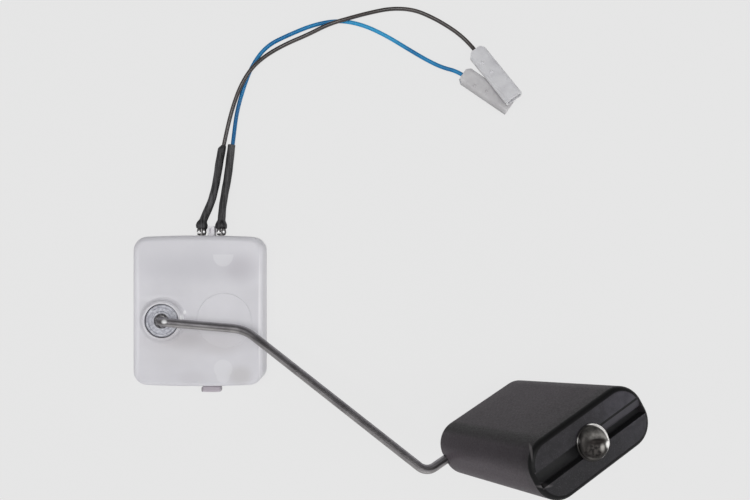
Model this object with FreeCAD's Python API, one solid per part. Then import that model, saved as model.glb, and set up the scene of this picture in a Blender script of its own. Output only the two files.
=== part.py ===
"""Fuel level sensor: a moulded housing, a swinging wire arm and a foamed rubber float.

Lengths are millimetres and angles are degrees. The origin lies on the arm's pivot axis, in the
plane of the housing's flat back. +Z runs along the pivot axis out of the front, +X points to the
float's side and +Y to the side where the two leads leave.
"""
import FreeCAD, Part
import math
import os

from FreeCAD import Matrix, Vector

# Housing
HOUSING_WIDTH = 41.0
HOUSING_HEIGHT = 47.7
HOUSING_DEPTH = 11.5
PIVOT_TO_LEFT = 9.6
PIVOT_TO_BOTTOM = 20.9
CORNER_RADIUS = 4.5
EDGE_BULGE = 0.6
WALL = 1.5
FRONT_FILLET = 1.8
PAD_TO_RIGHT = 12.1
PAD_RADIUS = 8.6
PAD_HEIGHT = 0.15
POST_OFFSET = 0.3
POST_RADIUS = 3.15
UPPER_POST_TO_TOP = 5.9
UPPER_POST_FOOT = 4.2
LOWER_POST_TO_BOTTOM = 4.3
LOWER_POST_GAP = 0.05
LOWER_POST_TRIM = 0.3
LOWER_POST_TO_SPIGOT = 0.2

# Boss round the rotor's hub
BOSS_HEIGHT = 2.0
BOSS_WALL = 1.0
BOSS_FLARE = 1.1
HUB_RADIUS = 5.05
HUB_GAP = 0.3

# Back plate
PLATE = 1.6
PLATE_CHAMFER = 0.4
SPIGOT_HEIGHT = 2.0
SPIGOT_WALL = 1.0
SPIGOT_GAP = 0.1
RAIL_SLOT_MOUTH = 3.0
RAIL_SLOT_FLOOR = 4.0
RAIL_SLOT_DEPTH = 0.9
RAIL_SLOT_LENGTH = 16.0
RAIL_SLOT_SPACING = 24.0
LATCH_WIDTH = 6.3
LATCH_REACH = 3.0
LATCH_BAR = 1.7
LATCH_HEIGHT = 2.6
LATCH_NECK = 4.4
LATCH_CENTRE_X = 13.6
LATCH_ROOT = 3.0
LATCH_ROUNDING = 0.5
LOCATING_RIB = 0.9
LOCATING_GAP = 0.1
LOCATING_STEP = 0.2
LOCATING_MARGIN = 3.0

# Rotor and its magnet
PIN_RADIUS = 1.9
PIN_TOP = 6.2
PIN_GAP = 0.05
PIN_CHAMFER = 0.3
ROTOR_FLOAT = 0.15
LOWER_HUB_RADIUS = 4.2
FLANGE_RADIUS = 6.8
FLANGE_THICKNESS = 1.8
HUB_BELOW_BOSS = 0.3
COLLAR_OUTER = 3.1
COLLAR_INNER = 2.35
HUB_RING_DEPTH = 0.5
HUB_RING_WALL = 0.7
HUB_EDGE = 0.3
FERRULE_HEIGHT = 1.6
FERRULE_CROWN = 0.55
FERRULE_FIT = 0.02
CARRIER_OUTER = 17.0
CARRIER_BOTTOM = 4.3
CARRIER_TOP = 8.4
CARRIER_HALF_DEG = 18.0
MAGNET_LENGTH = 7.0
MAGNET_WIDTH = 3.4
MAGNET_HEIGHT = 2.8
MAGNET_RADIUS = 13.2
MAGNET_GAP = 0.05
SWING_UP_DEG = 50.0
SWING_DOWN_DEG = 30.0
STOP_GAP = 0.3
STOP_THICKNESS = 1.4
STOP_INNER = 8.0
STOP_BOTTOM = 5.4

# Sensing element: a ceramic board with a comb of soft magnetic spring fingers under a metal lid
BOARD_THICKNESS = 0.63
CONTACT_INNER = 11.0
CONTACT_PITCH_DEG = 2.5
CONTACT_MARGIN_DEG = 3.0
PAD_PRINT = 0.08
PAD_LENGTH = 2.6
TRACK_WIDTH = 1.2
PAD_WIDTH_DEG = 1.6
FINGER_LENGTH = 4.2
FINGER_GAP_DEG = 0.7
FOIL_THICKNESS = 0.12
FOIL_ROOT = 1.6
SPACER_THICKNESS = 0.3
LID_WALL = 0.3
LID_HEIGHT = 1.5
LID_CORNER = 1.5
LID_CLEARANCE = 0.5
BOARD_EDGE = 0.5
BOARD_TO_SPIGOT = 0.5

# Terminals and the rib between them
TERMINAL_X = (10.5, 16.9)
TERMINAL_TO_LID = 1.0
TERMINAL_STRIP = 1.8
TERMINAL_THICKNESS = 0.5
TERMINAL_NOTCH_GAP = 0.15
CRIMP_LOBE = 0.78
CRIMP_BULGE = 1.2
CRIMP_NECK = 0.5
CRIMP_LOBE_SPACING = 1.6
CRIMP_LENGTH = 2.8
CRIMP_START = 0.2
SEPARATOR_LEFT = 12.75
SEPARATOR_WIDTH = 2.1
SEPARATOR_GAP = 0.1
SEPARATOR_REACH = 3.1
SEPARATOR_HEIGHT = 4.2
SEPARATOR_GROOVE = (0.6, 0.53, 0.7)
SEPARATOR_GROOVE_DEPTH = 0.8

# Leads, with their shrink sleeves
LEAD_DIAMETER = 1.3
LEAD_START_GAP = 0.1
SHRINK_DIAMETER = 2.5
SHRINK_BORE_GAP = 0.03
SHRINK_OVERLAP = 0.7
FLARE_RADIUS = 1.9
FLARE_MOUTH_RADIUS = 1.8
FLARE_BORE = 1.68
FLARE_SWELL = 1.2
FLARE_LENGTH = 3.6
FLARE_SINK = 0.03
SHRINK_END_RUNS = (3.6, 4.7)
SHRINK_TAPER = 1.4
SHRINK_TIP_WALL = 0.2

# Flat receptacles for 2.8 mm tabs, in their insulating sleeves
BLACK_SLEEVE_LENGTH = 21.0
BLUE_SLEEVE_LENGTH = 18.8
SLEEVE_WIDTH = 6.1
SLEEVE_HEIGHT = 3.4
SLEEVE_WALL = 0.5
SLEEVE_CORNER = 1.4
SLEEVE_CHAMFER = 1.5
SLEEVE_BUMP = 0.7
SLEEVE_BUMPS = ((5.4, 1.2), (9.6, 0.6))
SLEEVE_INSERTION = 1.5
RECEPTACLE_WIDTH = 3.7
RECEPTACLE_HEIGHT = 1.8
RECEPTACLE_LENGTH = 8.0
RECEPTACLE_SHEET = 0.35
RECEPTACLE_START = 9.0
RECEPTACLE_SEAM = 0.9
BARREL_RADIUS = 1.0
BARREL_LENGTH = 3.6
RECEPTACLE_CORNER = 0.6
LEAD_IN_SLEEVE = 4.0
NECK_WIDTH = 1.6

# Arm
WIRE_DIAMETER = 2.7
ARM_LEVEL = 17.0
ARM_LEG_END = 6.8
LEG_FLAT_HEIGHT = 3.5
LEG_FLAT_DEPTH = 0.4
WIRE_FIT = 0.02
ARM_RUNS = (26.7, 70.1, 25.3)
ARM_HEADINGS_DEG = (-5.0, -36.2, 29.9)
ARM_CLIMBS_DEG = (0.0, 12.4, -20.0)
HUB_BEND_RADIUS = 3.2
ARM_BEND_RADII = (12.0, 3.8, 2.4)

# Float and the cap that holds it on the arm
FLOAT_WIDTH = 36.3
FLOAT_THICKNESS = 16.2
FLOAT_LENGTH = 55.0
FLOAT_ROLL_DEG = 4.1
FLOAT_SIDE_FLAT = 2.4
FLOAT_BEVEL = 1.5
FRONT_GROOVE_WIDTH = 4.1
FRONT_GROOVE_END = 0.9
FRONT_SHELF_WIDTH = 1.9
FRONT_SHELF_STEP = 0.35
FRONT_SHELF_SLOPE = 0.5
REAR_GROOVE_WIDTH = 3.1
FLOAT_GROOVE_DEPTH = 3.0
WIRE_INSET = 1.5
FLOAT_FIT = 0.05
CAP_RADIUS = 4.6
CAP_RIM = 0.5
CAP_SHOULDER = 4.2
CAP_HEIGHT = 2.1
CAP_SHEET = 0.4
WIRE_PAST_FACE = 1.3

# Fused forms reach this far into each other, and cuts run this far past the face that they open.
JOIN = 0.3
PAST = 1.0

LEFT = -PIVOT_TO_LEFT
RIGHT = LEFT + HOUSING_WIDTH
BOTTOM = -PIVOT_TO_BOTTOM
TOP = BOTTOM + HOUSING_HEIGHT
BORE_RADIUS = HUB_RADIUS + HUB_GAP
CEILING = HOUSING_DEPTH - WALL
BOSS_TOP = HOUSING_DEPTH + BOSS_HEIGHT
PAD_X = RIGHT - PAD_TO_RIGHT
POST_X = PAD_X - POST_OFFSET
UPPER_POST_Y = TOP - UPPER_POST_TO_TOP
LOWER_POST_Y = BOTTOM + LOWER_POST_TO_BOTTOM
FLANGE_TOP = CEILING - ROTOR_FLOAT
BOARD_TOP = PLATE + BOARD_THICKNESS
WIRE_RADIUS = WIRE_DIAMETER / 2
LEAD_RADIUS = LEAD_DIAMETER / 2
CONTACT_LOW = -SWING_DOWN_DEG - CONTACT_MARGIN_DEG
CONTACT_HIGH = SWING_UP_DEG + CONTACT_MARGIN_DEG
ROOT_INNER = CONTACT_INNER + FINGER_LENGTH
ROOT_OUTER = ROOT_INNER + FOIL_ROOT
CRIMP_REACH = TOP + CRIMP_START + CRIMP_LENGTH
LEAD_START = CRIMP_REACH + LEAD_START_GAP
TERMINAL_LEVEL = BOARD_TOP + TERMINAL_THICKNESS / 2

# The leads' routes start at the crimps. Both lie on the surface under the housing's back, and the
# black one passes over the blue one twice, in low humps.
BLACK_ROUTE = (
    (TERMINAL_X[0], LEAD_START, TERMINAL_LEVEL),
    (10.75, 31.5, 2.4),
    (14.0, 38.3, 2.05),
    (15.6, 45.0, 1.75),
    (16.5, 51.2, 1.5),
    (17.7, 57.8, 0.95),
    (19.2, 64.8, 0.65),
    (20.9, 70.4, 1.1),
    (23.2, 75.8, 2.2),
    (26.6, 81.4, 2.2),
    (31.4, 86.0, 0.8),
    (37.8, 89.6, 0.65),
    (45.0, 92.6, 0.8),
    (51.6, 95.6, 2.2),
    (58.4, 97.6, 2.2),
    (65.2, 99.8, 0.7),
    (72.2, 101.2, 0.65),
    (79.4, 100.8, 0.65),
    (85.6, 98.2, 0.7),
    (90.9, 95.1, 0.8),
    (95.0, 92.1, 1.0),
)
BLUE_ROUTE = (
    (TERMINAL_X[1], LEAD_START, TERMINAL_LEVEL),
    (17.0, 34.4, 2.35),
    (18.2, 40.8, 2.1),
    (19.4, 47.2, 1.75),
    (20.0, 52.8, 1.5),
    (20.7, 59.6, 0.95),
    (21.6, 67.2, 0.65),
    (23.7, 74.8, 0.65),
    (26.6, 82.6, 0.65),
    (31.4, 89.0, 0.65),
    (38.6, 92.5, 0.65),
    (46.6, 95.8, 0.65),
    (54.8, 97.3, 0.65),
    (62.6, 95.9, 0.65),
    (70.2, 92.4, 0.65),
    (77.4, 88.0, 0.65),
    (83.8, 84.2, 0.7),
    (88.8, 81.7, 1.15),
)
# Each sleeve's entry, heading and climb. The black lead's sleeve rests its far end on the other.
BLACK_SLEEVE = ((99.55, 87.05, 1.75), -54.5, 14.8)
BLUE_SLEEVE = ((95.3, 79.4, 1.75), -34.3, 0.0)


def box(x0, x1, y0, y1, z0, z1):
    return Part.makeBox(x1 - x0, y1 - y0, z1 - z0, Vector(x0, y0, z0))


def cylinder(radius, z0, z1, x=0.0, y=0.0):
    return Part.makeCylinder(radius, z1 - z0, Vector(x, y, z0))


def prism(wire, height):
    return Part.Face(wire).extrude(height)


def polygon(points):
    return Part.makePolygon(list(points) + [points[0]])


def fused(first, others):
    return first.multiFuse(others).removeSplitter() if others else first


def on_circle(radius, angle, z=0.0):
    turn = math.radians(angle)
    return Vector(radius * math.cos(turn), radius * math.sin(turn), z)


def direction(heading, climb):
    """Unit vector at a heading in the XY plane, raised by a climb angle."""
    flat = math.cos(math.radians(climb))
    rise = math.sin(math.radians(climb))
    return Vector(flat * math.cos(math.radians(heading)), flat * math.sin(math.radians(heading)), rise)


def sector(inner, outer, low, high, z0, z1):
    """Part of a flat ring about the pivot axis, between two angles."""
    middle = (low + high) / 2
    outside = [on_circle(outer, angle, z0) for angle in (low, middle, high)]
    inside = [on_circle(inner, angle, z0) for angle in (high, middle, low)]
    edges = [
        Part.Arc(*outside).toShape(),
        Part.LineSegment(outside[-1], inside[0]).toShape(),
        Part.Arc(*inside).toShape(),
        Part.LineSegment(inside[-1], outside[0]).toShape(),
    ]
    return prism(Part.Wire(edges), Vector(0, 0, z1 - z0))


def upright_edges(shape):
    """Straight edges along Z."""
    found = []
    for edge in shape.Edges:
        ends = [vertex.Point for vertex in edge.Vertexes]
        if len(ends) == 2 and math.hypot(ends[0].x - ends[1].x, ends[0].y - ends[1].y) < 1e-6:
            found.append(edge)
    return found


def edges_at(shape, z):
    """Edges that lie in the plane at height z."""
    return [edge for edge in shape.Edges if all(abs(v.Point.z - z) < 1e-6 for v in edge.Vertexes)]


def plate_block(x0, x1, y0, y1, z0, z1, corner):
    """Block with its upright edges rounded."""
    block = box(x0, x1, y0, y1, z0, z1)
    return block.makeFillet(corner, upright_edges(block))


def housing_block(inset, z0, z1):
    """The housing's outline, with bulged top and bottom edges, drawn in by an inset."""
    x0 = LEFT + inset
    x1 = RIGHT - inset
    y0 = BOTTOM + inset
    y1 = TOP - inset
    middle = (x0 + x1) / 2
    low = y0 + EDGE_BULGE
    high = y1 - EDGE_BULGE
    edges = [
        Part.Arc(Vector(x0, low, z0), Vector(middle, y0, z0), Vector(x1, low, z0)).toShape(),
        Part.LineSegment(Vector(x1, low, z0), Vector(x1, high, z0)).toShape(),
        Part.Arc(Vector(x1, high, z0), Vector(middle, y1, z0), Vector(x0, high, z0)).toShape(),
        Part.LineSegment(Vector(x0, high, z0), Vector(x0, low, z0)).toShape(),
    ]
    block = prism(Part.Wire(edges), Vector(0, 0, z1 - z0))
    return block.makeFillet(CORNER_RADIUS - inset, upright_edges(block))


def turned(profile, origin=Vector(0, 0, 0), axis=Vector(0, 0, 1)):
    """Solid of revolution about Z from a closed wire in the XZ plane."""
    return Part.Face(profile).revolve(origin, axis, 360)


def path_wire(points, radii):
    """Straight runs joined by tangent arcs, one radius for each inner point."""
    edges = []
    start = points[0]
    for index, radius in enumerate(radii, 1):
        corner = points[index]
        before = (corner - points[index - 1]).normalize()
        after = (points[index + 1] - corner).normalize()
        half_turn = before.getAngle(after) / 2
        tangent = radius * math.tan(half_turn)
        inward = (after - before).normalize()
        first = corner - before * tangent
        last = corner + after * tangent
        middle = corner + inward * (radius / math.cos(half_turn) - radius)
        edges.append(Part.LineSegment(start, first).toShape())
        edges.append(Part.Arc(first, middle, last).toShape())
        start = last
    edges.append(Part.LineSegment(start, points[-1]).toShape())
    return Part.Wire(edges)


def round_tube(points, radii, diameter):
    path = path_wire(points, radii)
    ring = Part.Wire(Part.makeCircle(diameter / 2, points[0], points[1] - points[0]))
    return path.makePipeShell([ring], True, False)


def largest_radii(points):
    """The widest bend that each inner point's two runs leave room for."""
    radii = []
    for before, corner, after in zip(points, points[1:], points[2:]):
        half_turn = (corner - before).getAngle(after - corner) / 2
        shorter = min((corner - before).Length, (after - corner).Length)
        radii.append(0.45 * shorter / math.tan(half_turn))
    return radii


def to_frame(shape, origin, x_axis, y_axis, z_axis):
    """Move a shape drawn about the origin into a frame given by its axes."""
    matrix = Matrix(
        x_axis.x, y_axis.x, z_axis.x, origin.x,
        x_axis.y, y_axis.y, z_axis.y, origin.y,
        x_axis.z, y_axis.z, z_axis.z, origin.z,
        0, 0, 0, 1)
    placed = shape.copy()
    placed.transformShape(matrix)
    return placed


# Housing cover

def boss_profile(inner):
    """Half section of the raised ring round the hub, with a hollow flare at its foot."""
    top_outer = BORE_RADIUS + BOSS_WALL
    foot = top_outer + BOSS_FLARE
    rounding = BOSS_WALL / 2
    waist = Vector(top_outer + BOSS_FLARE * 0.2, 0, HOUSING_DEPTH + BOSS_HEIGHT * 0.3)
    edges = [
        Part.LineSegment(Vector(inner, 0, CEILING), Vector(foot, 0, CEILING)).toShape(),
        Part.LineSegment(Vector(foot, 0, CEILING), Vector(foot, 0, HOUSING_DEPTH)).toShape(),
        Part.Arc(Vector(foot, 0, HOUSING_DEPTH), waist, Vector(top_outer, 0, BOSS_TOP - rounding)).toShape(),
        Part.LineSegment(Vector(top_outer, 0, BOSS_TOP - rounding),
                         Vector(top_outer - rounding, 0, BOSS_TOP)).toShape(),
        Part.LineSegment(Vector(top_outer - rounding, 0, BOSS_TOP), Vector(inner, 0, BOSS_TOP)).toShape(),
        Part.LineSegment(Vector(inner, 0, BOSS_TOP), Vector(inner, 0, CEILING)).toShape(),
    ]
    return Part.Wire(edges)


def stop_ribs():
    """Two ribs under the front wall, which the magnet carrier's sides meet at the ends of its swing."""
    ribs = []
    for side, reach in ((1, SWING_UP_DEG), (-1, SWING_DOWN_DEG)):
        angle = side * (reach + CARRIER_HALF_DEG)
        along = on_circle(1, angle)
        across = on_circle(1, angle + side * 90)
        start = along * STOP_INNER + across * STOP_GAP + Vector(0, 0, STOP_BOTTOM)
        corners = [
            start,
            start + along * (CARRIER_OUTER - STOP_INNER),
            start + along * (CARRIER_OUTER - STOP_INNER) + across * STOP_THICKNESS,
            start + across * STOP_THICKNESS,
        ]
        ribs.append(prism(polygon(corners), Vector(0, 0, CEILING - STOP_BOTTOM + WALL / 2)))
    return ribs


def support_posts():
    """A half-round post over the terminals and a drop-shaped one down to the plate."""
    top = CEILING + WALL / 2
    upper = cylinder(POST_RADIUS, UPPER_POST_FOOT, top, POST_X, UPPER_POST_Y - PAST)
    beyond = POST_RADIUS + PAST
    upper = upper.cut(box(POST_X - beyond, POST_X + beyond, UPPER_POST_Y, UPPER_POST_Y + beyond,
                          0, HOUSING_DEPTH))
    foot = PLATE + LOWER_POST_GAP
    half = POST_RADIUS - LOWER_POST_TRIM
    tip = Vector(POST_X, BOTTOM + WALL + SPIGOT_GAP + SPIGOT_WALL + LOWER_POST_TO_SPIGOT, foot)
    left = Vector(POST_X - half, LOWER_POST_Y, foot)
    right = Vector(POST_X + half, LOWER_POST_Y, foot)
    drop = Part.Wire([
        Part.Arc(left, Vector(POST_X, LOWER_POST_Y + half, foot), right).toShape(),
        Part.LineSegment(right, tip).toShape(),
        Part.LineSegment(tip, left).toShape(),
    ])
    return [upper, prism(drop, Vector(0, 0, top - foot))]


def terminal_notches():
    """Slots in the top wall that the terminal strips pass through."""
    half = TERMINAL_STRIP / 2 + TERMINAL_NOTCH_GAP
    low = BOARD_TOP - TERMINAL_NOTCH_GAP
    high = BOARD_TOP + TERMINAL_THICKNESS + TERMINAL_NOTCH_GAP
    inner = TOP - WALL - SPIGOT_GAP - SPIGOT_WALL - PAST
    return [box(x - half, x + half, inner, TOP + PAST, low, high) for x in TERMINAL_X]


def make_cover():
    shell = housing_block(0, PLATE, HOUSING_DEPTH)
    shell = shell.makeFillet(FRONT_FILLET, edges_at(shell, HOUSING_DEPTH))
    hollow = housing_block(WALL, PLATE, CEILING)
    shell = shell.cut(hollow)
    pad = cylinder(PAD_RADIUS, CEILING + WALL / 2, HOUSING_DEPTH + PAD_HEIGHT, PAD_X)
    pad = pad.makeFillet(PAD_HEIGHT * 0.8, edges_at(pad, HOUSING_DEPTH + PAD_HEIGHT))
    shell = fused(shell, [pad, turned(boss_profile(BORE_RADIUS))] + stop_ribs() + support_posts())
    bore = cylinder(BORE_RADIUS, CEILING - PAST, BOSS_TOP + PAST)
    return shell.cut(Part.makeCompound([bore, separator_block(SEPARATOR_GAP)] + terminal_notches()))


# Back plate

def rail_slots():
    """Undercut grooves in the back, open at the bottom edge, for the rails of a tank module."""
    centre = (LEFT + RIGHT) / 2
    slots = []
    for side in (-1, 1):
        x = centre + side * RAIL_SLOT_SPACING / 2
        section = polygon([
            Vector(x - RAIL_SLOT_MOUTH / 2, BOTTOM - PAST, 0),
            Vector(x + RAIL_SLOT_MOUTH / 2, BOTTOM - PAST, 0),
            Vector(x + RAIL_SLOT_FLOOR / 2, BOTTOM - PAST, RAIL_SLOT_DEPTH),
            Vector(x - RAIL_SLOT_FLOOR / 2, BOTTOM - PAST, RAIL_SLOT_DEPTH),
        ])
        slots.append(prism(section, Vector(0, RAIL_SLOT_LENGTH + PAST, 0)))
    return slots


def board_extent():
    """Corners of the lid and of the board. The contacts' arc and the housing's top wall set them."""
    lid_x0 = CONTACT_INNER * math.cos(math.radians(CONTACT_HIGH)) - LID_CLEARANCE - LID_WALL
    lid_x1 = ROOT_OUTER + LID_CLEARANCE + LID_WALL
    lid_y0 = ROOT_OUTER * math.sin(math.radians(CONTACT_LOW)) - LID_CLEARANCE - LID_WALL
    lid_y1 = ROOT_OUTER * math.sin(math.radians(CONTACT_HIGH)) + LID_CLEARANCE + LID_WALL
    lid = (lid_x0, lid_x1, lid_y0, lid_y1)
    board_y1 = TOP - WALL - SPIGOT_GAP - SPIGOT_WALL - BOARD_TO_SPIGOT
    board = (lid_x0 - BOARD_EDGE, lid_x1 + BOARD_EDGE, lid_y0 - BOARD_EDGE, board_y1)
    return lid, board


def locating_ribs():
    """Low ribs on the plate, along three sides of the board."""
    x0, x1, y0, y1 = board_extent()[1]
    gap = LOCATING_GAP
    wide = LOCATING_RIB
    top = BOARD_TOP + LOCATING_STEP
    low = y0 + LOCATING_MARGIN
    high = y1 - LOCATING_MARGIN
    return [
        box(x1 + gap, x1 + gap + wide, low, high, PLATE, top),
        box(x0 + LOCATING_MARGIN, x1 - LOCATING_MARGIN, y0 - gap - wide, y0 - gap, PLATE, top),
        box(x0 - gap - wide, x0 - gap, LOWER_HUB_RADIUS + LOCATING_MARGIN, high, PLATE, top),
    ]


def latch_tab():
    """The tab at the bottom edge that snaps into the tank module."""
    x = LATCH_CENTRE_X
    end = BOTTOM - LATCH_REACH
    neck = box(x - LATCH_NECK / 2, x + LATCH_NECK / 2, end, BOTTOM + LATCH_ROOT, 0, PLATE)
    bar = box(x - LATCH_WIDTH / 2, x + LATCH_WIDTH / 2, end, end + LATCH_BAR, 0, LATCH_HEIGHT)
    bar = bar.makeFillet(LATCH_ROUNDING, upright_edges(bar))
    return [neck, bar]


def separator_block(gap):
    """The place of the rib between the crimps, widened by a gap."""
    return box(SEPARATOR_LEFT - gap, SEPARATOR_LEFT + SEPARATOR_WIDTH + gap,
               TOP - WALL - SPIGOT_GAP - gap, TOP + SEPARATOR_REACH + gap, 0, SEPARATOR_HEIGHT + gap)


def separator_rib():
    """The rib that stands between the two crimps, grooved along its top."""
    left, width, end = SEPARATOR_GROOVE
    x0 = SEPARATOR_LEFT + left
    groove = box(x0, x0 + width, TOP + end, TOP + SEPARATOR_REACH - end,
                 SEPARATOR_HEIGHT - SEPARATOR_GROOVE_DEPTH, SEPARATOR_HEIGHT + PAST)
    return separator_block(0).cut(groove)


def make_back_plate():
    plate = housing_block(0, 0, PLATE)
    plate = plate.makeChamfer(PLATE_CHAMFER, edges_at(plate, 0))
    inset = WALL + SPIGOT_GAP
    spigot = housing_block(inset, PLATE, PLATE + SPIGOT_HEIGHT)
    spigot = spigot.cut(housing_block(inset + SPIGOT_WALL, PLATE, PLATE + SPIGOT_HEIGHT))
    pin = cylinder(PIN_RADIUS, PLATE - JOIN, PIN_TOP)
    pin = pin.makeChamfer(PIN_CHAMFER, edges_at(pin, PIN_TOP))
    additions = [spigot, pin] + locating_ribs() + latch_tab()
    plate = fused(plate, additions)
    plate = plate.cut(Part.makeCompound(rail_slots() + terminal_notches()))
    return fused(plate, [separator_rib()])


# Rotor

def hub_rings():
    """Half section of the hub, from the flange to the ringed top that shows in the boss."""
    top = BOSS_TOP - HUB_BELOW_BOSS
    floor = top - HUB_RING_DEPTH
    ring = HUB_RADIUS - HUB_RING_WALL
    return polygon([
        Vector(0, 0, PLATE + ROTOR_FLOAT),
        Vector(LOWER_HUB_RADIUS, 0, PLATE + ROTOR_FLOAT),
        Vector(LOWER_HUB_RADIUS, 0, FLANGE_TOP - FLANGE_THICKNESS),
        Vector(FLANGE_RADIUS, 0, FLANGE_TOP - FLANGE_THICKNESS),
        Vector(FLANGE_RADIUS, 0, FLANGE_TOP),
        Vector(HUB_RADIUS, 0, FLANGE_TOP),
        Vector(HUB_RADIUS, 0, top - HUB_EDGE),
        Vector(HUB_RADIUS - HUB_EDGE, 0, top),
        Vector(ring, 0, top),
        Vector(ring - HUB_EDGE, 0, floor),
        Vector(COLLAR_OUTER, 0, floor),
        Vector(COLLAR_OUTER - HUB_EDGE, 0, top + HUB_EDGE),
        Vector(COLLAR_INNER, 0, top + HUB_EDGE),
        Vector(COLLAR_INNER, 0, top - FERRULE_HEIGHT),
        Vector(0, 0, top - FERRULE_HEIGHT),
    ])


def keyed_leg(radius, z0, z1, flat_depth, flat_top):
    """Round leg with a flat near its end, so that the arm can't slip round in the hub."""
    leg = cylinder(radius, z0, z1)
    beyond = radius + PAST
    flat = box(-beyond, beyond, -beyond, flat_depth - radius, z0 - PAST, flat_top)
    return leg.cut(flat)


def make_ferrule():
    """Steel ring pressed into the collar round the arm's leg, rising towards the leg."""
    top = BOSS_TOP - HUB_BELOW_BOSS
    inner = WIRE_RADIUS + FERRULE_FIT
    outer = COLLAR_INNER - FERRULE_FIT
    low = top - FERRULE_HEIGHT
    crown = top + FERRULE_CROWN
    swell = Vector((inner + outer) / 2, 0, top + FERRULE_CROWN * 0.7)
    edges = [
        Part.LineSegment(Vector(inner, 0, low), Vector(outer, 0, low)).toShape(),
        Part.LineSegment(Vector(outer, 0, low), Vector(outer, 0, top)).toShape(),
        Part.Arc(Vector(outer, 0, top), swell, Vector(inner, 0, crown)).toShape(),
        Part.LineSegment(Vector(inner, 0, crown), Vector(inner, 0, low)).toShape(),
    ]
    return turned(Part.Wire(edges))


def magnet_block(gap):
    half = MAGNET_LENGTH / 2 + gap
    x0 = MAGNET_RADIUS - MAGNET_WIDTH / 2 - gap
    x1 = MAGNET_RADIUS + MAGNET_WIDTH / 2 + gap
    return box(x0, x1, -half, half, CARRIER_BOTTOM, CARRIER_BOTTOM + MAGNET_HEIGHT + gap)


def make_rotor():
    hub = turned(hub_rings())
    carrier = sector(LOWER_HUB_RADIUS - JOIN, CARRIER_OUTER, -CARRIER_HALF_DEG, CARRIER_HALF_DEG,
                     CARRIER_BOTTOM, CARRIER_TOP)
    rotor = fused(hub, [carrier])
    pin_bore = cylinder(PIN_RADIUS + PIN_GAP, 0, PIN_TOP + ROTOR_FLOAT)
    flat_top = ARM_LEG_END + LEG_FLAT_HEIGHT
    leg_bore = keyed_leg(WIRE_RADIUS + WIRE_FIT, ARM_LEG_END - WIRE_FIT, BOSS_TOP, LEG_FLAT_DEPTH, flat_top)
    rotor = rotor.cut(pin_bore)
    rotor = rotor.cut(leg_bore)
    return rotor.cut(magnet_block(MAGNET_GAP))


# Sensing element

def contact_angles():
    count = int((CONTACT_HIGH - CONTACT_LOW) / CONTACT_PITCH_DEG)
    first = (CONTACT_LOW + CONTACT_HIGH - (count - 1) * CONTACT_PITCH_DEG) / 2
    return [first + index * CONTACT_PITCH_DEG for index in range(count)]


def make_board():
    """Ceramic board with its printed contact pads and the resistor track beside them."""
    x0, x1, y0, y1 = board_extent()[1]
    board = box(x0, x1, y0, y1, PLATE, BOARD_TOP)
    low = PLATE + BOARD_THICKNESS / 2
    high = BOARD_TOP + PAD_PRINT
    inner = CONTACT_INNER + TRACK_WIDTH
    prints = [sector(CONTACT_INNER, inner, CONTACT_LOW, CONTACT_HIGH, low, high)]
    half = PAD_WIDTH_DEG / 2
    for angle in contact_angles():
        prints.append(sector(inner - JOIN, inner + PAD_LENGTH, angle - half, angle + half, low, high))
    return fused(board, prints)


def make_spacer():
    return sector(ROOT_INNER, ROOT_OUTER, CONTACT_LOW, CONTACT_HIGH, BOARD_TOP, BOARD_TOP + SPACER_THICKNESS)


def make_foil():
    """Comb of spring fingers that the magnet pulls down, one by one, on to the pads."""
    low = BOARD_TOP + SPACER_THICKNESS
    high = low + FOIL_THICKNESS
    half = (CONTACT_PITCH_DEG - FINGER_GAP_DEG) / 2
    root = sector(ROOT_INNER, ROOT_OUTER, CONTACT_LOW, CONTACT_HIGH, low, high)
    fingers = [sector(CONTACT_INNER, ROOT_INNER + JOIN, angle - half, angle + half, low, high)
               for angle in contact_angles()]
    return fused(root, fingers)


def make_lid():
    """Shallow drawn can over the comb."""
    x0, x1, y0, y1 = board_extent()[0]
    top = BOARD_TOP + LID_HEIGHT
    can = plate_block(x0, x1, y0, y1, BOARD_TOP, top, LID_CORNER)
    can = can.makeFillet(LID_WALL, edges_at(can, top))
    wall = LID_WALL
    return can.cut(plate_block(x0 + wall, x1 - wall, y0 + wall, y1 - wall, BOARD_TOP, top - wall,
                               LID_CORNER - wall))


def make_terminal(x):
    """Strip soldered on the board, with two rolled crimp wings outside the wall."""
    start = board_extent()[0][3] + TERMINAL_TO_LID
    low = BOARD_TOP
    high = low + TERMINAL_THICKNESS
    half = TERMINAL_STRIP / 2
    strip = box(x - half, x + half, start, CRIMP_REACH, low, high)
    lobes = []
    for side in (-1, 1):
        foot = Vector(x + side * CRIMP_LOBE_SPACING / 2, TOP + CRIMP_START, TERMINAL_LEVEL)
        bulge = foot + Vector(0, CRIMP_BULGE - CRIMP_START, 0)
        lobes.append(Part.makeCone(CRIMP_NECK, CRIMP_LOBE, CRIMP_BULGE - CRIMP_START, foot, Vector(0, 1, 0)))
        lobes.append(Part.makeSphere(CRIMP_LOBE, bulge))
        rest = CRIMP_LENGTH + CRIMP_START - CRIMP_BULGE
        lobes.append(Part.makeCone(CRIMP_LOBE, CRIMP_NECK, rest, bulge, Vector(0, 1, 0)))
    return fused(strip, lobes)


# Leads

def vectors(route):
    return [Vector(*point) for point in route]


def lead_route(route, sleeve):
    """The lead's points, ended by a short run along the axis of its insulating sleeve."""
    entry, heading, climb = sleeve
    along = direction(heading, climb)
    before = Vector(*entry) - along * SLEEVE_INSERTION
    return vectors(route) + [before, Vector(*entry) + along * LEAD_IN_SLEEVE]


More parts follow.
